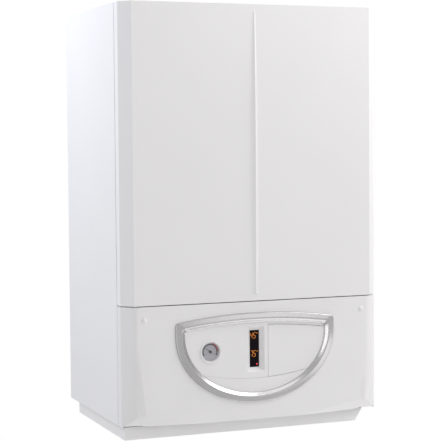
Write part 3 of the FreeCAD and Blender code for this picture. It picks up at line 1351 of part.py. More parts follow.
def gas_valve():
    """Gas valve block with its two solenoid coils on top."""
    half = GAS_VALVE_WIDTH / 2
    front = ENGINE_Y - GAS_VALVE_DEPTH / 2
    block = box(GAS_X - half, GAS_X + half, front, front + GAS_VALVE_DEPTH, GAS_VALVE_LOW_Z, GAS_VALVE_HIGH_Z)
    coils = []
    for side in (-1, 1):
        x = GAS_X + side * COIL_SPACING / 2
        y = ENGINE_Y - COIL_SETBACK + GAS_R
        coils.append(rod(COIL_R, (x, y, GAS_VALVE_HIGH_Z), (x, y, GAS_VALVE_HIGH_Z + COIL)))
    return join([block] + coils)


def diverter_valve():
    """Diverter body around the flow pipe, with its actuator in front."""
    half = DIVERTER_WIDTH / 2
    high = DIVERTER_LOW_Z + DIVERTER_HEIGHT
    middle = DIVERTER_LOW_Z + DIVERTER_HEIGHT / 2
    body = box(FLOW_X - half, FLOW_X + half, PIPE_Y - half, PIPE_Y + half, DIVERTER_LOW_Z, high)
    actuator = rod(ACTUATOR_R, (FLOW_X, PIPE_Y - half - ACTUATOR, middle), (FLOW_X, PIPE_Y - half, middle))
    hole = rod(HEATING_R + SLIP, (FLOW_X, PIPE_Y, DIVERTER_LOW_Z), (FLOW_X, PIPE_Y, high))
    return join([body, actuator]).cut(hole)


def plate_heat_exchanger():
    """Stack of plates between two end plates."""
    g = PLATE_GROOVE
    high = PLATE_LOW_Z + PLATE_HEIGHT
    core = box(PLATE_LEFT_X, PLATE_RIGHT_X, PLATE_FRONT + g, PLATE_BACK - g, PLATE_LOW_Z + g, high - g)
    pitch = (PLATE_WIDTH - PLATE_SHEET) / (PLATES - 1)
    plates = []
    for i in range(PLATES):
        x = PLATE_LEFT_X + i * pitch
        plates.append(box(x, x + PLATE_SHEET, PLATE_FRONT, PLATE_BACK, PLATE_LOW_Z, high))
    return join([core] + plates)


def on_safety(y):
    """Point on the relief valve's axis."""
    return (SAFETY_X, y, PUMP_Z)


def safety_valve():
    """Relief valve saddled on the delivery pipe, with the bore of its knob's spindle."""
    body = rod(SAFETY_R, on_safety(SAFETY_FRONT), on_safety(PIPE_Y))
    reach = 2 * SAFETY_R
    saddle = rod(LINK_R + SLIP, (SAFETY_X - reach, PIPE_Y, PUMP_Z), (SAFETY_X + reach, PIPE_Y, PUMP_Z))
    bore_end = SAFETY_FRONT + SAFETY_SPINDLE + SLIP
    bore = rod(SAFETY_SPINDLE_R + RUN, on_safety(SAFETY_FRONT), on_safety(bore_end))
    return body.cut(saddle).cut(bore)


def safety_knob():
    """Fluted knob of the relief valve with its spindle."""
    back = SAFETY_FRONT - SLIP
    front = back - SAFETY_KNOB
    knob = rod(SAFETY_KNOB_R, on_safety(front), on_safety(back))
    for i in range(FLUTES):
        turn = 2 * math.pi * i / FLUTES
        x = SAFETY_X + SAFETY_KNOB_R * math.cos(turn)
        z = PUMP_Z + SAFETY_KNOB_R * math.sin(turn)
        knob = knob.cut(rod(FLUTE_R, (x, front, z), (x, back, z)))
    spindle = rod(SAFETY_SPINDLE_R, on_safety(back), on_safety(SAFETY_FRONT + SAFETY_SPINDLE))
    return join([knob, spindle])


def all_pieces():
    """Every piece by its name."""
    makers = (
        back_frame, left_side_panel, top_panel, front_crossbar, bottom_rail, plinth, pipe_shelf, front_cover,
        lower_panel, fixing_caps, fixing_studs, pivot_pins, bezel_ring, fascia, lower_trim, control_door,
        display_window, display_board, gauge_case, gauge_dial, gauge_glass, gauge_needle, selector_board,
        control_box, control_board, sealed_chamber, chamber_cover, combustion_chamber, burner,
        ignition_electrodes, heat_exchanger, flue_hood, fan_housing, fan_motor, fan_impeller, flue_pipe,
        air_collar, expansion_vessel, storage_tank, tank_flange, heating_flow_pipe, heating_return_pipe,
        pump_delivery_pipe, cold_water_pipe, hot_water_pipe, gas_pipes, circuit_pipes, pump_housing,
        pump_motor, pump_rotor, gas_valve, diverter_valve, plate_heat_exchanger, safety_valve, safety_knob,
    )
    pieces = {maker.__name__: maker() for maker in makers}
    pieces["right_side_panel"] = both_sides(pieces["left_side_panel"])[1]
    for name, x in zip(KNOB_NAMES, KNOB_XS):
        pieces[name] = selector_knob(x)
    return pieces


os.makedirs("parts", exist_ok=True)
for piece_name, piece in all_pieces().items():
    piece.exportStep("parts/" + piece_name + ".step")
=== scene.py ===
import json
import math

import bpy
from mathutils import Matrix, Vector


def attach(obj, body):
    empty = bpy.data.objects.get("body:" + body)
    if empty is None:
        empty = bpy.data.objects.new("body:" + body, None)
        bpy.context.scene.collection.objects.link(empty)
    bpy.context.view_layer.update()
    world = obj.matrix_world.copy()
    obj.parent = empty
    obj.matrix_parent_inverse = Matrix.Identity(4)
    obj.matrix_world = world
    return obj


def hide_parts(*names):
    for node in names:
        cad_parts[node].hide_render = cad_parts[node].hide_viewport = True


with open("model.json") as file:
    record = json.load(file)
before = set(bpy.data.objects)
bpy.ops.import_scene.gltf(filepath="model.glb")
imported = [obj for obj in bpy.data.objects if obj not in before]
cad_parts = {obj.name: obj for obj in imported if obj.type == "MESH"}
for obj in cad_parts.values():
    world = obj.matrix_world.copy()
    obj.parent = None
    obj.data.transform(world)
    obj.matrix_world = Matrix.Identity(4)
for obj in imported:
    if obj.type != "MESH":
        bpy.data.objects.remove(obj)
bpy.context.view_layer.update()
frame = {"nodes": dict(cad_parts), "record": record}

BODIES = frame["record"]["behaviour"]["bodies"]
BODY_OF = {node: body for body, nodes in BODIES.items() for node in nodes}
SLOT_OF = {part["node"]: part["material_slot"] for part in frame["record"]["subparts"]}

# Lengths are in mm and angles in degrees, unless a comment says otherwise
MM = 0.001              # one mm in metres
FRONT = -425.0          # front face of the front cover and the lower panel
PRINT = 0.06            # thickness of printed and lit marks
CAD_MERGE = 0.000002    # metres within which the points of a CAD copy are merged
MERGE = 0.000001        # the same for new pieces
FLAT_ANGLE = 0.5        # faces that meet at less than this become one
EDGE_ANGLE = 35.0       # edges sharper than this are rounded
EDGE_SEGMENTS = 2
SMOOTH_ANGLE = 40.0     # edges sharper than this keep their crease in the shading

# Corner facets of the lower panel
CORNER_START = 262.0    # creases beyond this distance from the middle are softened
CORNER_RISE = 20.0      # where they rise by at least this much
CORNER_SOFT = 11.0      # half width of the soft curve
CORNER_SEGMENTS = 6
ON_FRONT = 0.1          # points this near to the front face count as on it

# Half-moon ring: an outline, swept with a profile of (inset, rise from the front)
MOON_HALF_WIDTH = 186.0
MOON_WAIST_Z = 189.0    # where it is widest
MOON_DROP = 151.0       # from there to its lowest point
MOON_TOP_Z = 234.0
MOON_TOP_R = 1150.0     # shallow upper arc
MOON_CORNER_R = 9.0
MOON_LOW_STEPS = 96
MOON_CORNER_STEPS = 8
MOON_TOP_STEPS = 48
RING_SMOOTH_ANGLE = 50.0
RING_PROFILE = (
    (0.0, 0.0), (0.15, 1.7), (0.6, 2.8), (1.4, 3.4), (2.6, 3.8), (4.5, 4.4),
    (8.0, 5.6), (11.5, 6.8), (12.6, 7.0), (13.4, 6.8), (14.4, 6.1), (17.0, 3.9),
    (19.5, 1.7), (21.2, 0.35), (22.0, 0.05), (22.0, 0.0))

# Door: insets are counted from the half-moon's outer edge
DOOR_TOP_INSET = 27.8   # its upper edge
DOOR_GAP = 0.9          # seam above it
DOOR_CUT_X = (15.0, 185.0)
DOOR_CUT_LEAD = 5.0     # the cutter starts so far before the front
DOOR_CUT_DEPTH = 25.0
RAIL_TOP_INSET = 21.4   # the fascia's strip above the door goes under the ring
RAIL_X = (26.0, 166.0)
RAIL_DEPTH = 2.2
RAIL_EDGE = 0.4
STRIP_STEPS = 24
LIP = ((141.0, 190.0), (152.0, 190.0), (152.0, 192.4), (141.0, 192.4))
LIP_RISE = 1.4
LIP_DEPTH = 1.8         # it sinks a little into the door
LIP_EDGE = 0.7

# Display: seven-segment figures that lean to the right
WINDOW_FRONT = -415.0   # front face of the lens
FIGURES = (             # name, figures, lowest bar, height
    ("hot_water_figures", "45", 175.9, 12.6),
    ("heating_figures", "75", 135.8, 13.2))
SEGMENTS = {"4": "fgbc", "5": "afgcd", "7": "abc"}
FIGURE_LEFTS = (-9.6, -2.2)
FIGURE_WIDTH = 5.0
FIGURE_LEAN = 0.16      # sideways for each mm of height
BAR_HALF = 0.55         # half thickness of a bar
BAR_POINT = 0.5         # from the figure's corner to the bar's point
BAR_SHOULDER = 1.1      # and to where it has its full thickness
DEGREE_X = 6.6
DEGREE_DROP = 1.4       # centre of the degree sign below the figures' top
DEGREE_RADII = (0.55, 1.25)
BURNER_LAMP = (5.8, 119.4)
BURNER_LAMP_R = 1.9

# Pressure gauge: a scale from 0 to 4 with three small marks between the numbers
GAUGE = (-106.0, 153.5)
DIAL_FRONT = -421.0
SCALE_FIRST, SCALE_LAST = 209.0, -29.0
SCALE_RADII = (14.9, 17.2)
SCALE_NUMBERS = 4
SCALE_MARKS = 16
LONG_MARK = (12.4, 0.7)   # inner radius and width
SHORT_MARK = (13.7, 0.4)
MARK_OUTER = 15.0
RED_ZONE = (17.25, 19.3, 75.0, 0.0)  # radii and ends
NUMBER_R = 10.2
NUMBER_HEIGHT = 3.6

# Knobs behind the door
SELECTOR_FRONT = -405.0
KNOBS = (("mode", 56.0), ("hot_water", 94.0), ("heating", 132.0))
KNOB_Z = 150.0
KNOB_FACE = -419.3      # front of the finger bars
KNOB_MARKS = 11
KNOB_MARK_FIRST = 225.0
KNOB_MARK_STEP = 27.0
KNOB_MARK = (14.5, 17.0)  # radii
KNOB_MARK_WIDTH = 0.8
POINTER = (3.0, 11.5)
POINTER_WIDTH = 1.6

# Studio, in metres
FLOOR_SIZE = 6.0
FLOOR_Z = -1.1          # the boiler hangs above it
FLOOR_GLOW = 0.4        # what the eye sees of the floor beyond its own colour
COOL, WARM, PLAIN = "#ECF2FF", "#FFFDFD", "#FFFDFE"
FILL_STRENGTH = 0.412   # light from all round, in the plain white
LAMPS = (               # name, place, aim, width and height, power, colour
    ("left_lamp", (-1.7, 0.1, 1.15), (-0.3, -0.2, 0.75), (0.7, 0.7), 6.6, COOL),
    ("left_near_lamp", (-1.0, 0.15, 1.3), (-0.3, -0.2, 0.75), (0.5, 0.5), 4.0, COOL),
    ("right_lamp", (1.5, -1.05, 1.75), (0.25, -0.42, 0.8), (1.2, 1.2), 23.5, WARM),
    ("top_lamp", (0.15, -1.2, 1.9), (0.1, -0.43, 0.4), (1.0, 0.7), 3.0, WARM),
    ("floor_lamp", (0.5, -0.65, -1.05), (0.5, -0.7, 0.2), (0.9, 0.6), 3.0, WARM),
    ("left_low_lamp", (-1.7, -1.95, -0.6), (-0.2, -0.4, 0.1), (1.5, 0.9), 2.8, WARM),
    ("right_low_lamp", (1.7, -1.7, -0.65), (0.1, -0.42, 0.1), (2.2, 0.8), 6.5, WARM),
    ("left_strip_lamp", (-2.0, -2.05, 0.6), (0.15, -0.43, 0.15), (0.25, 2.0), 7.2, PLAIN),
    ("front_strip_lamp", (0.9, -2.2, 1.25), (0.05, -0.43, 0.2), (0.9, 0.5), 1.6, WARM))

# Camera, worked out from the straight edges of the casing: pixels, degrees, metres
IMAGE = 441.0
FOCAL = 1441.0
IMAGE_CENTRE = (237.2, 215.5)
YAW, PITCH, ROLL = 22.03, 3.01, -0.40
CAMERA_PLACE = (-1.206, -3.301, 0.609)
SENSOR = 36.0           # mm


def linear(code):
    """Linear RGBA of an sRGB hex colour."""
    channels = [int(code[i:i + 2], 16) / 255 for i in (1, 3, 5)]
    return [c / 12.92 if c <= 0.04045 else ((c + 0.055) / 1.055) ** 2.4
            for c in channels] + [1.0]


def per(size_mm):
    """Texture scale on metre coordinates that gives features of this size."""
    return 1000.0 / size_mm


def fill(tree, node, sockets):
    """Sets a node's sockets: an output is linked, any other value is set."""
    for name, value in sockets.items():
        if isinstance(value, bpy.types.NodeSocket):
            tree.links.new(value, node.inputs[name])
        else:
            node.inputs[name].default_value = value


def add(tree, kind, sockets, **settings):
    """Adds a shader node with its settings and its sockets."""
    node = tree.nodes.new("ShaderNode" + kind)
    for name, value in settings.items():
        setattr(node, name, value)
    fill(tree, node, sockets)
    return node


def start(name):
    """New material with its tree, its shader and the piece's own coordinates in metres."""
    finish = bpy.data.materials.new(name)
    finish.use_nodes = True
    tree = finish.node_tree
    place = add(tree, "TexCoord", {}).outputs["Object"]
    return finish, tree, tree.nodes["Principled BSDF"], place


def powder_coated_steel():
    """Pressed steel with white polyester powder coat: even white, a soft sheen and a faint
    orange peel.

    The peel is 2 mm on the real sheet and drawn at 7 mm so that it shows in the sheen.
    """
    finish, tree, shader, place = start("powder_coated_steel")
    drift = add(tree, "TexNoise", {"Vector": place, "Scale": per(260), "Detail": 1.0})
    peel = add(tree, "TexNoise", {"Vector": place, "Scale": per(7), "Detail": 2.0})
    colour = add(tree, "MixRGB", {
        "Fac": drift.outputs["Fac"], "Color1": linear("#EEEEEF"), "Color2": linear("#F2F2F2")})
    rough = add(tree, "MapRange", {
        "Value": peel.outputs["Fac"], "To Min": 0.34, "To Max": 0.42})
    bump = add(tree, "Bump", {
        "Height": peel.outputs["Fac"], "Strength": 0.08, "Distance": 0.0004})
    fill(tree, shader, {
        "Base Color": colour.outputs["Color"], "Roughness": rough.outputs["Result"],
        "Normal": bump.outputs["Normal"]})
    return finish


def white_moulded_abs():
    """Injection-moulded ABS: slightly warmer than the steel, with a fine spark-eroded grain
    that softens the light.

    The grain is 0.3 mm on the real moulding and drawn at 1.6 mm so that it shows.
    """
    finish, tree, shader, place = start("white_moulded_abs")
    grain = add(tree, "TexNoise", {"Vector": place, "Scale": per(1.6), "Detail": 3.0})
    flow = add(tree, "TexNoise", {"Vector": place, "Scale": per(90), "Detail": 1.0})
    colour = add(tree, "MixRGB", {
        "Fac": flow.outputs["Fac"], "Color1": linear("#ECECED"), "Color2": linear("#F1F1F1")})
    rough = add(tree, "MapRange", {
        "Value": grain.outputs["Fac"], "To Min": 0.4, "To Max": 0.5})
    bump = add(tree, "Bump", {
        "Height": grain.outputs["Fac"], "Strength": 0.06, "Distance": 0.0002})
    fill(tree, shader, {
        "Base Color": colour.outputs["Color"], "Roughness": rough.outputs["Result"],
        "IOR": 1.53, "Normal": bump.outputs["Normal"]})
    return finish


def satin_silver_lacquer():
    """Metallic lacquer on a moulding: grey in the open, bright streaks where it turns to the
    lamps.

    The flakes are 0.05 mm and drawn at 1.2 mm so that they show.
    """
    finish, tree, shader, place = start("satin_silver_lacquer")
    flake = add(tree, "TexVoronoi", {"Vector": place, "Scale": per(1.2)})
    colour = add(tree, "MixRGB", {
        "Fac": flake.outputs["Distance"],
        "Color1": linear("#A2A1A2"), "Color2": linear("#ACABAC")})
    rough = add(tree, "MapRange", {
        "Value": flake.outputs["Distance"], "To Min": 0.2, "To Max": 0.26})
    fill(tree, shader, {
        "Base Color": colour.outputs["Color"], "Roughness": rough.outputs["Result"],
        "Metallic": 0.85})
    return finish


def grey_moulded_abs():
    """Grey ABS of boxes and knobs: dull, with a coarse moulded grain.

    The grain is 0.4 mm and drawn at 1.5 mm so that it shows.
    """
    finish, tree, shader, place = start("grey_moulded_abs")
    grain = add(tree, "TexNoise", {"Vector": place, "Scale": per(1.5), "Detail": 3.0})
    colour = add(tree, "MixRGB", {
        "Fac": grain.outputs["Fac"], "Color1": linear("#74777B"), "Color2": linear("#85888C")})
    rough = add(tree, "MapRange", {
        "Value": grain.outputs["Fac"], "To Min": 0.5, "To Max": 0.65})
    bump = add(tree, "Bump", {
        "Height": grain.outputs["Fac"], "Strength": 0.15, "Distance": 0.0003})
    fill(tree, shader, {
        "Base Color": colour.outputs["Color"], "Roughness": rough.outputs["Result"],
        "IOR": 1.53, "Normal": bump.outputs["Normal"]})
    return finish


def smoked_acrylic():
    """Cast acrylic lens, smoked almost black with a violet tinge: a hard shine with a few
    wiping marks.
    """
    finish, tree, shader, place = start("smoked_acrylic")
    wipe = add(tree, "TexNoise", {"Vector": place, "Scale": per(14), "Detail": 4.0})
    colour = add(tree, "MixRGB", {
        "Fac": wipe.outputs["Fac"], "Color1": linear("#0C070B"), "Color2": linear("#170D14")})
    rough = add(tree, "MapRange", {
        "Value": wipe.outputs["Fac"], "To Min": 0.1, "To Max": 0.24})
    fill(tree, shader, {
        "Base Color": colour.outputs["Color"], "Roughness": rough.outputs["Result"],
        "IOR": 1.49, "Specular IOR Level": 0.06})
    return finish


def clear_gauge_glass():
    """Thin float glass: clear, with only a faint veil of reflected light."""
    finish, tree, shader, place = start("clear_gauge_glass")
    dust = add(tree, "TexNoise", {"Vector": place, "Scale": per(9), "Detail": 4.0})
    rough = add(tree, "MapRange", {
        "Value": dust.outputs["Fac"], "To Min": 0.03, "To Max": 0.1})
    fill(tree, shader, {
        "Base Color": linear("#F4F7F8"), "Roughness": rough.outputs["Result"],
        "IOR": 1.52, "Alpha": 0.04})
    return finish


def printed_aluminium_dial():
    """Silk-screened aluminium disc: flat grey-violet, slightly uneven where the ink dried."""
    finish, tree, shader, place = start("printed_aluminium_dial")
    ink = add(tree, "TexNoise", {"Vector": place, "Scale": per(5), "Detail": 3.0})
    colour = add(tree, "MixRGB", {
        "Fac": ink.outputs["Fac"], "Color1": linear("#A9A8B0"), "Color2": linear("#B7B6BC")})
    rough = add(tree, "MapRange", {
        "Value": ink.outputs["Fac"], "To Min": 0.5, "To Max": 0.65})
    fill(tree, shader, {
        "Base Color": colour.outputs["Color"], "Roughness": rough.outputs["Result"]})
    return finish


def printing_ink(name, dark, light):
    """Silk-screen ink: a thin matt film, a little thinner in places."""
    finish, tree, shader, place = start(name)
    film = add(tree, "TexNoise", {"Vector": place, "Scale": per(1.2), "Detail": 2.0})
    colour = add(tree, "MixRGB", {
        "Fac": film.outputs["Fac"], "Color1": linear(dark), "Color2": linear(light)})
    fill(tree, shader, {"Base Color": colour.outputs["Color"], "Roughness": 0.6})
    return finish


def sprayed_enamel(name, dark, light, rough_low, rough_high, peel_mm):
    """Sprayed paint on metal: an even colour with a light orange peel in the sheen."""
    finish, tree, shader, place = start(name)
    peel = add(tree, "TexNoise", {"Vector": place, "Scale": per(peel_mm), "Detail": 2.0})
    colour = add(tree, "MixRGB", {
        "Fac": peel.outputs["Fac"], "Color1": linear(dark), "Color2": linear(light)})
    rough = add(tree, "MapRange", {
        "Value": peel.outputs["Fac"], "To Min": rough_low, "To Max": rough_high})
    bump = add(tree, "Bump", {
        "Height": peel.outputs["Fac"], "Strength": 0.12, "Distance": 0.0003})
    fill(tree, shader, {
        "Base Color": colour.outputs["Color"], "Roughness": rough.outputs["Result"],
        "Normal": bump.outputs["Normal"]})
    return finish


def solder_mask_board():
    """Glass-fibre board under green solder mask: copper tracks show through as paler lines
    4 mm apart.
    """
    finish, tree, shader, place = start("solder_mask_board")
    turned = add(tree, "Mapping", {
        "Vector": place, "Rotation": (math.radians(90), 0.0, 0.0)})
    tracks = add(tree, "TexBrick", {
        "Vector": turned.outputs["Vector"], "Scale": 1.0, "Color1": linear("#1D5532"),
        "Color2": linear("#235F3A"), "Mortar": linear("#3C8553"),
        "Mortar Size": 0.0004, "Brick Width": 0.011, "Row Height": 0.004})
    bump = add(tree, "Bump", {
        "Height": tracks.outputs["Fac"], "Strength": 0.3, "Distance": 0.0001})
    fill(tree, shader, {
        "Base Color": tracks.outputs["Color"], "Roughness": 0.42,
        "Normal": bump.outputs["Normal"]})
    return finish


def galvanised_sheet():
    """Hot-dip galvanised steel: patchwork of dull and bright zinc crystals about 10 mm
    across.
    """
    finish, tree, shader, place = start("galvanised_sheet")
    crystal = add(tree, "TexVoronoi", {"Vector": place, "Scale": per(10), "Randomness": 1.0})
    tone = add(tree, "SeparateColor", {"Color": crystal.outputs["Color"]})
    colour = add(tree, "MixRGB", {
        "Fac": tone.outputs["Red"], "Color1": linear("#A7ACAF"), "Color2": linear("#C0C4C6")})
    rough = add(tree, "MapRange", {
        "Value": tone.outputs["Green"], "To Min": 0.34, "To Max": 0.56})
    fill(tree, shader, {
        "Base Color": colour.outputs["Color"], "Roughness": rough.outputs["Result"],
        "Metallic": 1.0})
    return finish


def brushed_stainless():
    """Rolled and brushed stainless steel: long fine lines upwards that stretch the highlights.

    The lines are 0.1 mm apart and drawn 1.5 mm apart so that they show.
    """
    finish, tree, shader, place = start("brushed_stainless")
    along = add(tree, "Mapping", {"Vector": place, "Scale": (1.0, 1.0, 0.02)})
    lines = add(tree, "TexNoise", {
        "Vector": along.outputs["Vector"], "Scale": per(1.5), "Detail": 3.0})
    colour = add(tree, "MixRGB", {
        "Fac": lines.outputs["Fac"], "Color1": linear("#B4B5B6"), "Color2": linear("#CFD0D0")})
    rough = add(tree, "MapRange", {
        "Value": lines.outputs["Fac"], "To Min": 0.22, "To Max": 0.42})
    bump = add(tree, "Bump", {
        "Height": lines.outputs["Fac"], "Strength": 0.1, "Distance": 0.0002})
    fill(tree, shader, {
        "Base Color": colour.outputs["Color"], "Roughness": rough.outputs["Result"],
        "Metallic": 1.0, "Normal": bump.outputs["Normal"]})
    return finish


def drawn_copper():
    """Drawn copper tube: warm and bright, with brown tarnish in cloudy patches about 25 mm
    across.
    """
    finish, tree, shader, place = start("drawn_copper")
    cloud = add(tree, "TexNoise", {"Vector": place, "Scale": per(25), "Detail": 5.0})
    patch = add(tree, "MapRange", {
        "Value": cloud.outputs["Fac"], "From Min": 0.42, "From Max": 0.68})
    colour = add(tree, "MixRGB", {
        "Fac": patch.outputs["Result"],
        "Color1": linear("#D98F6A"), "Color2": linear("#9A5F45")})
    rough = add(tree, "MapRange", {
        "Value": cloud.outputs["Fac"], "To Min": 0.22, "To Max": 0.48})
    fill(tree, shader, {
        "Base Color": colour.outputs["Color"], "Roughness": rough.outputs["Result"],
        "Metallic": 1.0})
    return finish


def turned_brass():
    """Turned brass fittings: yellow, with slightly duller spots where hands touched them."""
    finish, tree, shader, place = start("turned_brass")
    spot = add(tree, "TexNoise", {"Vector": place, "Scale": per(12), "Detail": 4.0})
    colour = add(tree, "MixRGB", {
        "Fac": spot.outputs["Fac"], "Color1": linear("#D6B465"), "Color2": linear("#B8934A")})
    rough = add(tree, "MapRange", {
        "Value": spot.outputs["Fac"], "To Min": 0.22, "To Max": 0.4})
    fill(tree, shader, {
        "Base Color": colour.outputs["Color"], "Roughness": rough.outputs["Result"],
        "Metallic": 1.0})
    return finish


def cast_metal(name, dark, light, grain_mm, rough_low, rough_high, depth):
    """Sand-cast metal: a dull, grainy skin with no clear reflections."""
    finish, tree, shader, place = start(name)
    grain = add(tree, "TexNoise", {
        "Vector": place, "Scale": per(grain_mm), "Detail": 5.0, "Roughness": 0.65})
    colour = add(tree, "MixRGB", {
        "Fac": grain.outputs["Fac"], "Color1": linear(dark), "Color2": linear(light)})
    rough = add(tree, "MapRange", {
        "Value": grain.outputs["Fac"], "To Min": rough_low, "To Max": rough_high})
    bump = add(tree, "Bump", {
        "Height": grain.outputs["Fac"], "Strength": 0.5, "Distance": depth})
    fill(tree, shader, {
        "Base Color": colour.outputs["Color"], "Roughness": rough.outputs["Result"],
        "Metallic": 1.0, "Normal": bump.outputs["Normal"]})
    return finish


def ceramic_fibre_board():
    """Pressed ceramic fibre: off-white, matt and felted, with fibres about 6 mm long."""
    finish, tree, shader, place = start("ceramic_fibre_board")
    along = add(tree, "Mapping", {"Vector": place, "Scale": (1.0, 0.25, 1.0)})
    fibre = add(tree, "TexNoise", {
        "Vector": along.outputs["Vector"], "Scale": per(1.5), "Detail": 5.0})
    colour = add(tree, "MixRGB", {
        "Fac": fibre.outputs["Fac"], "Color1": linear("#C9C1B2"), "Color2": linear("#E4DECF")})
    bump = add(tree, "Bump", {
        "Height": fibre.outputs["Fac"], "Strength": 0.6, "Distance": 0.0006})
    fill(tree, shader, {
        "Base Color": colour.outputs["Color"], "Roughness": 0.95,
        "Normal": bump.outputs["Normal"]})
    return finish


def lit_segment(name, dark, light):
    """Light-emitting diode behind a diffuser: glows in its own colour, a little weaker in
    places.
    """
    finish, tree, shader, place = start(name)
    grain = add(tree, "TexNoise", {"Vector": place, "Scale": per(2), "Detail": 1.0})
    glow = add(tree, "MixRGB", {
        "Fac": grain.outputs["Fac"], "Color1": linear(dark), "Color2": linear(light)})
    fill(tree, shader, {
        "Base Color": linear("#201008"), "Roughness": 0.4,
        "Emission Color": glow.outputs["Color"], "Emission Strength": 1.0})
    return finish


def seen_directly(tree):
    """One where a ray comes from the camera, a shine or a glass, and zero where it lights a
    surface.
    """
    path = add(tree, "LightPath", {})
    seen = add(tree, "Math", {
        0: path.outputs["Is Camera Ray"], 1: path.outputs["Is Glossy Ray"]}, operation="ADD")
    seen = add(tree, "Math", {
        0: seen.outputs[0], 1: path.outputs["Is Transmission Ray"]},
        operation="ADD", use_clamp=True)
    return seen.outputs[0]


def pale_floor():
    """Plain pale studio floor: matt, with a slight unevenness, and paler to the eye than to
    the light.
    """
    finish, tree, shader, place = start("pale_floor")
    drift = add(tree, "TexNoise", {"Vector": place, "Scale": per(600), "Detail": 2.0})
    colour = add(tree, "MixRGB", {
        "Fac": drift.outputs["Fac"], "Color1": linear("#E6E6E4"), "Color2": linear("#ECECEA")})
    glow = add(tree, "Math", {0: seen_directly(tree), 1: FLOOR_GLOW}, operation="MULTIPLY")
    fill(tree, shader, {
        "Base Color": colour.outputs["Color"], "Roughness": 0.9,
        "Emission Color": linear("#FFFFFF"), "Emission Strength": glow.outputs[0]})
    return finish


FINISHES = {
    "white_enamel": powder_coated_steel(),
    "white_moulding": white_moulded_abs(),
    "silver_lacquer": satin_silver_lacquer(),
    "grey_moulding": grey_moulded_abs(),
    "dark_lens": smoked_acrylic(),
    "clear_glass": clear_gauge_glass(),
    "dial_print": printed_aluminium_dial(),
    "black_paint": printing_ink("black_needle_paint", "#0E0E10", "#1B1B1E"),
    "red_moulding": sprayed_enamel("red_moulded_knob", "#A01A17", "#B7211C", 0.35, 0.5, 2.0),
    "red_paint": sprayed_enamel("red_vessel_enamel", "#8E1F1A", "#A62720", 0.3, 0.42, 4.0),
    "circuit_board": solder_mask_board(),
    "galvanised_steel": galvanised_sheet(),
    "stainless_steel": brushed_stainless(),
    "copper": drawn_copper(),
    "brass": turned_brass(),
    "cast_aluminium": cast_metal(
        "cast_aluminium", "#A3A5A7", "#C4C6C7", 1.6, 0.42, 0.6, 0.0005),
    "cast_iron": cast_metal("cast_iron", "#4A4A4C", "#66666A", 2.2, 0.55, 0.75, 0.0008),
    "motor_paint": sprayed_enamel("black_motor_enamel", "#232528", "#303336", 0.35, 0.5, 3.0),
    "fire_board": ceramic_fibre_board(),
}
AMBER_LIGHT = lit_segment("amber_segment", "#E4841A", "#F78F1C")
RED_LIGHT = lit_segment("red_lamp", "#EB2738", "#FF2A3C")
BLACK_INK = printing_ink("black_scale_ink", "#1C1C20", "#2A2A2E")
RED_INK = printing_ink("red_zone_ink", "#B24A58", "#C25B68")
WHITE_INK = printing_ink("white_pointer_ink", "#E4E5E6", "#F0F1F1")


def new_selection(piece=None):
    """Deselects everything, then selects this piece alone."""
    bpy.ops.object.select_all(action="DESELECT")
    if piece:
        piece.select_set(True)
        bpy.context.view_layer.objects.active = piece


def dress(piece, finish, body):
    """Gives a finished piece its material and body."""
    piece.data.materials.clear()
    piece.data.materials.append(finish)
    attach(piece, body)


def bevelled(piece, radius, segments=EDGE_SEGMENTS, angle=EDGE_ANGLE):
    """Rounds the sharp edges of a piece and smooths its shading."""
    new_selection(piece)
    edge = piece.modifiers.new("edge", "BEVEL")
    edge.width = radius * MM
    edge.segments = segments
    edge.limit_method = "ANGLE"
    edge.angle_limit = math.radians(angle)
    bpy.ops.object.modifier_apply(modifier=edge.name)
    bpy.ops.object.shade_smooth_by_angle(angle=math.radians(SMOOTH_ANGLE))
    flat = piece.modifiers.new("flat", "WEIGHTED_NORMAL")
    flat.keep_sharp = True
    bpy.ops.object.modifier_apply(modifier=flat.name)


def front_plate(name, outline, y, depth):
    """Flat plate on the front: an outline of (x, z) points, from y backwards."""
    new_selection()
    bpy.ops.mesh.primitive_circle_add(vertices=len(outline), fill_type="NGON")
    piece = bpy.context.active_object
    piece.name = name
    for vertex, (x, z) in zip(piece.data.vertices, outline):
        vertex.co = (x * MM, y * MM, z * MM)
    bpy.ops.object.mode_set(mode="EDIT")
    bpy.ops.mesh.select_all(action="SELECT")
    bpy.ops.mesh.extrude_region_move(TRANSFORM_OT_translate={"value": (0, depth * MM, 0)})
    bpy.ops.mesh.select_all(action="SELECT")
    bpy.ops.mesh.normals_make_consistent(inside=False)
    bpy.ops.object.mode_set(mode="OBJECT")
    return piece


def joined(name, pieces):
    """One object from several pieces."""
    new_selection(pieces[0])
    for piece in pieces[1:]:
        piece.select_set(True)
    bpy.ops.object.join()
    pieces[0].name = name
    return pieces[0]


def round_point(centre, radius, degrees):
    """Point on a circle on the front, counted from +X towards +Z."""
    angle = math.radians(degrees)
    return (centre[0] + radius * math.cos(angle), centre[1] + radius * math.sin(angle))


def band(centre, inner, outer, first, last, steps):
    """Outline of a ring sector."""
    turns = [first + (last - first) * i / steps for i in range(steps + 1)]
    there = [round_point(centre, outer, turn) for turn in turns]
    back = [round_point(centre, inner, turn) for turn in reversed(turns)]
    return there + back


def tick(centre, inner, outer, degrees, width):
    """Outline of a radial mark."""
    x0, z0 = round_point(centre, inner, degrees)
    x1, z1 = round_point(centre, outer, degrees)
    side_x = -math.sin(math.radians(degrees)) * width / 2
    side_z = math.cos(math.radians(degrees)) * width / 2
    return [(x0 + side_x, z0 + side_z), (x1 + side_x, z1 + side_z),
            (x1 - side_x, z1 - side_z), (x0 - side_x, z0 - side_z)]


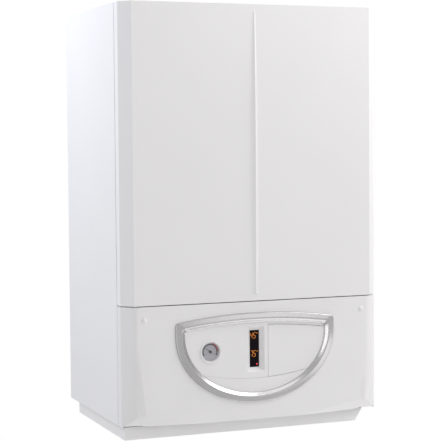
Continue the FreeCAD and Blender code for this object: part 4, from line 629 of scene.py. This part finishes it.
def top_strip(low_inset, high_inset, ends_x):
    """Outline of a strip along the half-moon's upper edge, between two insets from it."""
    first, last = (math.degrees(math.acos(x / MOON_TOP_R)) for x in ends_x)
    return band((0, MOON_TOP_Z - MOON_TOP_R), MOON_TOP_R - low_inset, MOON_TOP_R - high_inset,
                first, last, STRIP_STEPS)


def moon_outline(inset):
    """Points round the half-moon, moved inwards by inset."""
    a = MOON_HALF_WIDTH - inset
    b = MOON_DROP - inset
    top_r = MOON_TOP_R - inset
    centre_z = MOON_TOP_Z - MOON_TOP_R
    corner_x = a - MOON_CORNER_R
    corner_z = centre_z + math.sqrt((top_r - MOON_CORNER_R) ** 2 - corner_x ** 2)
    lean = math.degrees(math.atan2(corner_z - centre_z, corner_x))
    points = []
    for i in range(MOON_LOW_STEPS + 1):
        turn = i * math.pi / MOON_LOW_STEPS
        points.append((a * math.cos(turn), MOON_WAIST_Z - b * math.sin(turn)))
    for i in range(MOON_CORNER_STEPS):
        turn = 180 - lean * i / MOON_CORNER_STEPS
        points.append(round_point((-corner_x, corner_z), MOON_CORNER_R, turn))
    for i in range(MOON_TOP_STEPS):
        turn = 180 - lean - (180 - 2 * lean) * i / MOON_TOP_STEPS
        points.append(round_point((0, centre_z), top_r, turn))
    for i in range(MOON_CORNER_STEPS + 1):
        turn = lean - lean * i / MOON_CORNER_STEPS
        points.append(round_point((corner_x, corner_z), MOON_CORNER_R, turn))
    return points


def half_moon_ring():
    """Silver ring round the fascia, standing for the CAD ring."""
    rows = [moon_outline(inset) for inset, _ in RING_PROFILE]
    rows.append(rows[0])
    rises = [rise for _, rise in RING_PROFILE] + [0.0]
    along = len(rows[0])
    across = len(rows) - 1
    new_selection()
    bpy.ops.mesh.primitive_grid_add(x_subdivisions=along, y_subdivisions=across, size=1.0)
    ring = bpy.context.active_object
    ring.name = "silver_ring"
    for vertex in ring.data.vertices:
        i = round((vertex.co.x + 0.5) * along) % along
        j = round((vertex.co.y + 0.5) * across)
        x, z = rows[j][i]
        vertex.co = (x * MM, (FRONT - rises[j]) * MM, z * MM)
    bpy.ops.object.mode_set(mode="EDIT")
    bpy.ops.mesh.select_all(action="SELECT")
    bpy.ops.mesh.remove_doubles(threshold=MERGE)
    bpy.ops.mesh.normals_make_consistent(inside=False)
    bpy.ops.object.mode_set(mode="OBJECT")
    bpy.ops.object.shade_smooth_by_angle(angle=math.radians(RING_SMOOTH_ANGLE))
    dress(ring, FINISHES["silver_lacquer"], "control_panel")
    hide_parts("bezel_ring")


def soften_corners(piece):
    """Turns the creases between the lower panel's front and its corner facets into soft
    curves.
    """
    weights = piece.data.attributes.new("bevel_weight_edge", "FLOAT", "EDGE").data
    for edge, weight in zip(piece.data.edges, weights):
        ends = [piece.data.vertices[i].co / MM for i in edge.vertices]
        on_facet = all(abs(end.y - FRONT) < ON_FRONT and abs(end.x) > CORNER_START
                       for end in ends)
        if on_facet and abs(ends[0].z - ends[1].z) > CORNER_RISE:
            weight.value = 1.0
    new_selection(piece)
    soft = piece.modifiers.new("soft", "BEVEL")
    soft.width = CORNER_SOFT * MM
    soft.segments = CORNER_SEGMENTS
    soft.limit_method = "WEIGHT"
    bpy.ops.object.modifier_apply(modifier=soft.name)


def lower_door_edge(piece):
    """Cuts the door off below the ring, along a line parallel to it."""
    outline = top_strip(DOOR_TOP_INSET, 0.0, DOOR_CUT_X)
    cutter = front_plate("door_cutter", outline, FRONT - DOOR_CUT_LEAD, DOOR_CUT_DEPTH)
    new_selection(piece)
    cut = piece.modifiers.new("cut", "BOOLEAN")
    cut.operation = "DIFFERENCE"
    cut.object = cutter
    bpy.ops.object.modifier_apply(modifier=cut.name)
    bpy.data.objects.remove(cutter)


# Node, name of the rounded piece, radius of its edges
ROUNDED = (
    ("front_cover", "front_cover_pressing", 0.5),
    ("left_side_panel", "left_side_pressing", 0.3),
    ("right_side_panel", "right_side_pressing", 0.3),
    ("lower_panel", "lower_panel_moulding", 1.4),
    ("fascia", "fascia_moulding", 1.1),
    ("lower_trim", "lower_trim_moulding", 1.1),
    ("control_door", "control_door_moulding", 0.5),
    ("plinth", "plinth_pressing", 0.8),
    ("gauge_case", "gauge_case_moulding", 0.6),
    ("fixing_caps", "fixing_cap_mouldings", 0.6),
    ("mode_knob", "mode_knob_moulding", 0.8),
    ("hot_water_knob", "hot_water_knob_moulding", 0.8),
    ("heating_knob", "heating_knob_moulding", 0.8),
)
# What is done to a copy before its edges are rounded
SHAPED_FIRST = {"lower_panel": soften_corners, "control_door": lower_door_edge}


def rounded_copy(node, name, radius):
    """Copy of a CAD node with its edges rounded as the folded or moulded edge is, standing
    for that node.
    """
    piece = bpy.data.objects.new(name, frame["nodes"][node].data.copy())
    bpy.context.scene.collection.objects.link(piece)
    new_selection(piece)
    bpy.ops.mesh.customdata_custom_splitnormals_clear()
    bpy.ops.object.mode_set(mode="EDIT")
    bpy.ops.mesh.select_all(action="SELECT")
    bpy.ops.mesh.remove_doubles(threshold=CAD_MERGE)
    bpy.ops.mesh.dissolve_limited(angle_limit=math.radians(FLAT_ANGLE))
    bpy.ops.object.mode_set(mode="OBJECT")
    if node in SHAPED_FIRST:
        SHAPED_FIRST[node](piece)
    bevelled(piece, radius)
    dress(piece, FINISHES[SLOT_OF[node]], BODY_OF[node])
    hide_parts(node)


def segment_outlines(left, low, width, height):
    """The seven bars of a figure, by their usual letters, each a pointed bar."""
    mid = low + height / 2
    top = low + height
    right = left + width

    def level(z):
        return [(left + BAR_POINT, z), (left + BAR_SHOULDER, z + BAR_HALF),
                (right - BAR_SHOULDER, z + BAR_HALF), (right - BAR_POINT, z),
                (right - BAR_SHOULDER, z - BAR_HALF), (left + BAR_SHOULDER, z - BAR_HALF)]

    def upright(x, z0, z1):
        return [(x, z0 + BAR_POINT), (x + BAR_HALF, z0 + BAR_SHOULDER),
                (x + BAR_HALF, z1 - BAR_SHOULDER), (x, z1 - BAR_POINT),
                (x - BAR_HALF, z1 - BAR_SHOULDER), (x - BAR_HALF, z0 + BAR_SHOULDER)]

    return {"a": level(top), "g": level(mid), "d": level(low),
            "f": upright(left, mid, top), "b": upright(right, mid, top),
            "e": upright(left, low, mid), "c": upright(right, low, mid)}


def display_figures(name, text, low, height):
    """Two lit figures and a degree sign on the lens."""
    y = WINDOW_FRONT - PRINT
    pieces = []
    for left, figure in zip(FIGURE_LEFTS, text):
        bars = segment_outlines(left, low, FIGURE_WIDTH, height)
        for letter in SEGMENTS[figure]:
            leaning = [(x + (z - low - height / 2) * FIGURE_LEAN, z) for x, z in bars[letter]]
            pieces.append(front_plate(name, leaning, y, PRINT))
    centre = (DEGREE_X, low + height - DEGREE_DROP)
    # A hairline gap gives the small ring a single outline
    degree_sign = band(centre, *DEGREE_RADII, 0, 359, 16)
    pieces.append(front_plate(name, degree_sign, y, PRINT))
    dress(joined(name, pieces), AMBER_LIGHT, "control_panel")


def burner_lamp():
    """Red lamp at the bottom of the lens, twice as thick as the figures."""
    outline = [round_point(BURNER_LAMP, BURNER_LAMP_R, 15 * i) for i in range(24)]
    disc = front_plate("burner_lamp", outline, WINDOW_FRONT - 2 * PRINT, 2 * PRINT)
    dress(disc, RED_LIGHT, "control_panel")


def scale_turn(share):
    """Angle on the gauge at this share of its scale."""
    return SCALE_FIRST + (SCALE_LAST - SCALE_FIRST) * share


def dial_marks():
    """Scale and red zone on the gauge dial."""
    y = DIAL_FRONT - PRINT
    arc = band(GAUGE, *SCALE_RADII, SCALE_FIRST, SCALE_LAST, 60)
    scale = [front_plate("dial_scale", arc, y, PRINT)]
    for i in range(SCALE_MARKS + 1):
        at_number = i % (SCALE_MARKS // SCALE_NUMBERS) == 0
        inner, width = LONG_MARK if at_number else SHORT_MARK
        outline = tick(GAUGE, inner, MARK_OUTER, scale_turn(i / SCALE_MARKS), width)
        scale.append(front_plate("dial_scale", outline, y, PRINT))
    dress(joined("dial_scale", scale), BLACK_INK, "control_panel")
    zone = front_plate("dial_red_zone", band(GAUGE, *RED_ZONE, 24), y, PRINT)
    dress(zone, RED_INK, "control_panel")


def dial_numbers():
    """Plain numbers inside the gauge's scale."""
    upright = Matrix.Rotation(math.radians(90), 4, "X")
    numbers = []
    for i in range(SCALE_NUMBERS + 1):
        x, z = round_point(GAUGE, NUMBER_R, scale_turn(i / SCALE_NUMBERS))
        new_selection()
        bpy.ops.object.text_add()
        label = bpy.context.active_object
        label.data.body = str(i)
        label.data.align_x = "CENTER"
        label.data.align_y = "CENTER"
        label.data.size = NUMBER_HEIGHT * MM
        label.data.extrude = PRINT / 2 * MM
        bpy.ops.object.convert(target="MESH")
        label = bpy.context.active_object
        place = Matrix.Translation((x * MM, (DIAL_FRONT - PRINT) * MM, z * MM))
        label.data.transform(place @ upright)
        numbers.append(label)
    numbers = joined("dial_numbers", numbers)
    bpy.ops.object.mode_set(mode="EDIT")
    bpy.ops.mesh.select_all(action="SELECT")
    bpy.ops.mesh.remove_doubles(threshold=MERGE)
    bpy.ops.mesh.dissolve_degenerate(threshold=MERGE)
    bpy.ops.object.mode_set(mode="OBJECT")
    dress(numbers, BLACK_INK, "control_panel")


def selector_marks():
    """Tick marks round each knob, and a white pointer line on its finger bar."""
    for name, x in KNOBS:
        centre = (x, KNOB_Z)
        marks = []
        for i in range(KNOB_MARKS):
            turn = KNOB_MARK_FIRST - KNOB_MARK_STEP * i
            outline = tick(centre, *KNOB_MARK, turn, KNOB_MARK_WIDTH)
            marks.append(front_plate("marks", outline, SELECTOR_FRONT - PRINT, PRINT))
        dress(joined(name + "_marks", marks), WHITE_INK, "control_panel")
        outline = tick(centre, *POINTER, 90.0, POINTER_WIDTH)
        line = front_plate(name + "_pointer", outline, KNOB_FACE - PRINT, PRINT)
        dress(line, WHITE_INK, name + "_selector")


def door_rail():
    """Strip of the fascia between the ring and the door's upper edge."""
    outline = top_strip(DOOR_TOP_INSET - DOOR_GAP, RAIL_TOP_INSET, RAIL_X)
    rail = front_plate("fascia_door_rail", outline, FRONT - PRINT / 2, RAIL_DEPTH)
    bevelled(rail, RAIL_EDGE)
    dress(rail, FINISHES["white_moulding"], "control_panel")


def door_lip():
    """Small finger lip moulded on the door, near its upper right corner."""
    lip = front_plate("door_finger_lip", LIP, FRONT - LIP_RISE, LIP_DEPTH)
    bevelled(lip, LIP_EDGE, segments=3, angle=30)
    dress(lip, FINISHES["white_moulding"], "door")


def dress_cad_nodes():
    """Every CAD node gets the finish of its slot."""
    for node, piece in frame["nodes"].items():
        piece.data.materials.clear()
        piece.data.materials.append(FINISHES[SLOT_OF[node]])


def lamp(name, place, aim, size, power, colour):
    """Soft lamp, so wide and so high, that points at a spot on the boiler."""
    data = bpy.data.lights.new(name, "AREA")
    data.shape = "RECTANGLE"
    data.size, data.size_y = size
    data.energy = power
    data.color = linear(colour)[:3]
    light = bpy.data.objects.new(name, data)
    light.visible_camera = False
    light.location = place
    light.rotation_euler = (Vector(aim) - Vector(place)).to_track_quat("-Z", "Y").to_euler()
    bpy.context.scene.collection.objects.link(light)


def studio():
    """Pale floor below the hanging boiler, soft lamps and an even white surround."""
    scene = bpy.context.scene
    scene.view_settings.view_transform = "Standard"
    new_selection()
    bpy.ops.mesh.primitive_plane_add(size=FLOOR_SIZE, location=(0, 0, 0))
    floor = bpy.context.active_object
    floor.name = "floor"
    floor.data.transform(Matrix.Translation((0, 0, FLOOR_Z)))
    floor.data.materials.append(pale_floor())
    world = bpy.data.worlds.new("studio")
    scene.world = world
    world.use_nodes = True
    tree = world.node_tree
    tree.nodes.clear()
    light = add(tree, "Background", {"Color": linear(PLAIN), "Strength": FILL_STRENGTH})
    white = add(tree, "Background", {"Color": (1, 1, 1, 1), "Strength": 1.0})
    mix = add(tree, "MixShader", {
        0: seen_directly(tree), 1: light.outputs[0], 2: white.outputs[0]})
    add(tree, "OutputWorld", {"Surface": mix.outputs[0]})
    for settings in LAMPS:
        lamp(*settings)


def photo_camera():
    """Camera at the photograph's place: left of the front, a little above the middle."""
    yaw, pitch, roll = (math.radians(angle) for angle in (YAW, PITCH, ROLL))
    ahead = Vector((math.sin(yaw), math.cos(yaw), 0))
    right = Vector((math.cos(yaw), -math.sin(yaw), 0))
    up = Vector((0, 0, 1))
    look = math.cos(pitch) * ahead - math.sin(pitch) * up
    lifted = math.cos(pitch) * up + math.sin(pitch) * ahead
    side = math.cos(roll) * right + math.sin(roll) * lifted
    top = -math.sin(roll) * right + math.cos(roll) * lifted
    turn = Matrix((side, top, -look)).transposed().to_4x4()
    centre_x, centre_y = IMAGE_CENTRE
    data = bpy.data.cameras.new("photo_camera")
    data.sensor_width = SENSOR
    data.lens = SENSOR * FOCAL / IMAGE
    data.shift_x = (IMAGE / 2 - centre_x) / IMAGE
    data.shift_y = (centre_y - IMAGE / 2) / IMAGE
    camera = bpy.data.objects.new("photo_camera", data)
    camera.matrix_world = Matrix.Translation(CAMERA_PLACE) @ turn
    bpy.context.scene.collection.objects.link(camera)
    bpy.context.scene.camera = camera


dress_cad_nodes()
for node, name, radius in ROUNDED:
    rounded_copy(node, name, radius)
half_moon_ring()
for name, text, low, height in FIGURES:
    display_figures(name, text, low, height)
burner_lamp()
dial_marks()
dial_numbers()
selector_marks()
door_rail()
door_lip()
studio()
photo_camera()
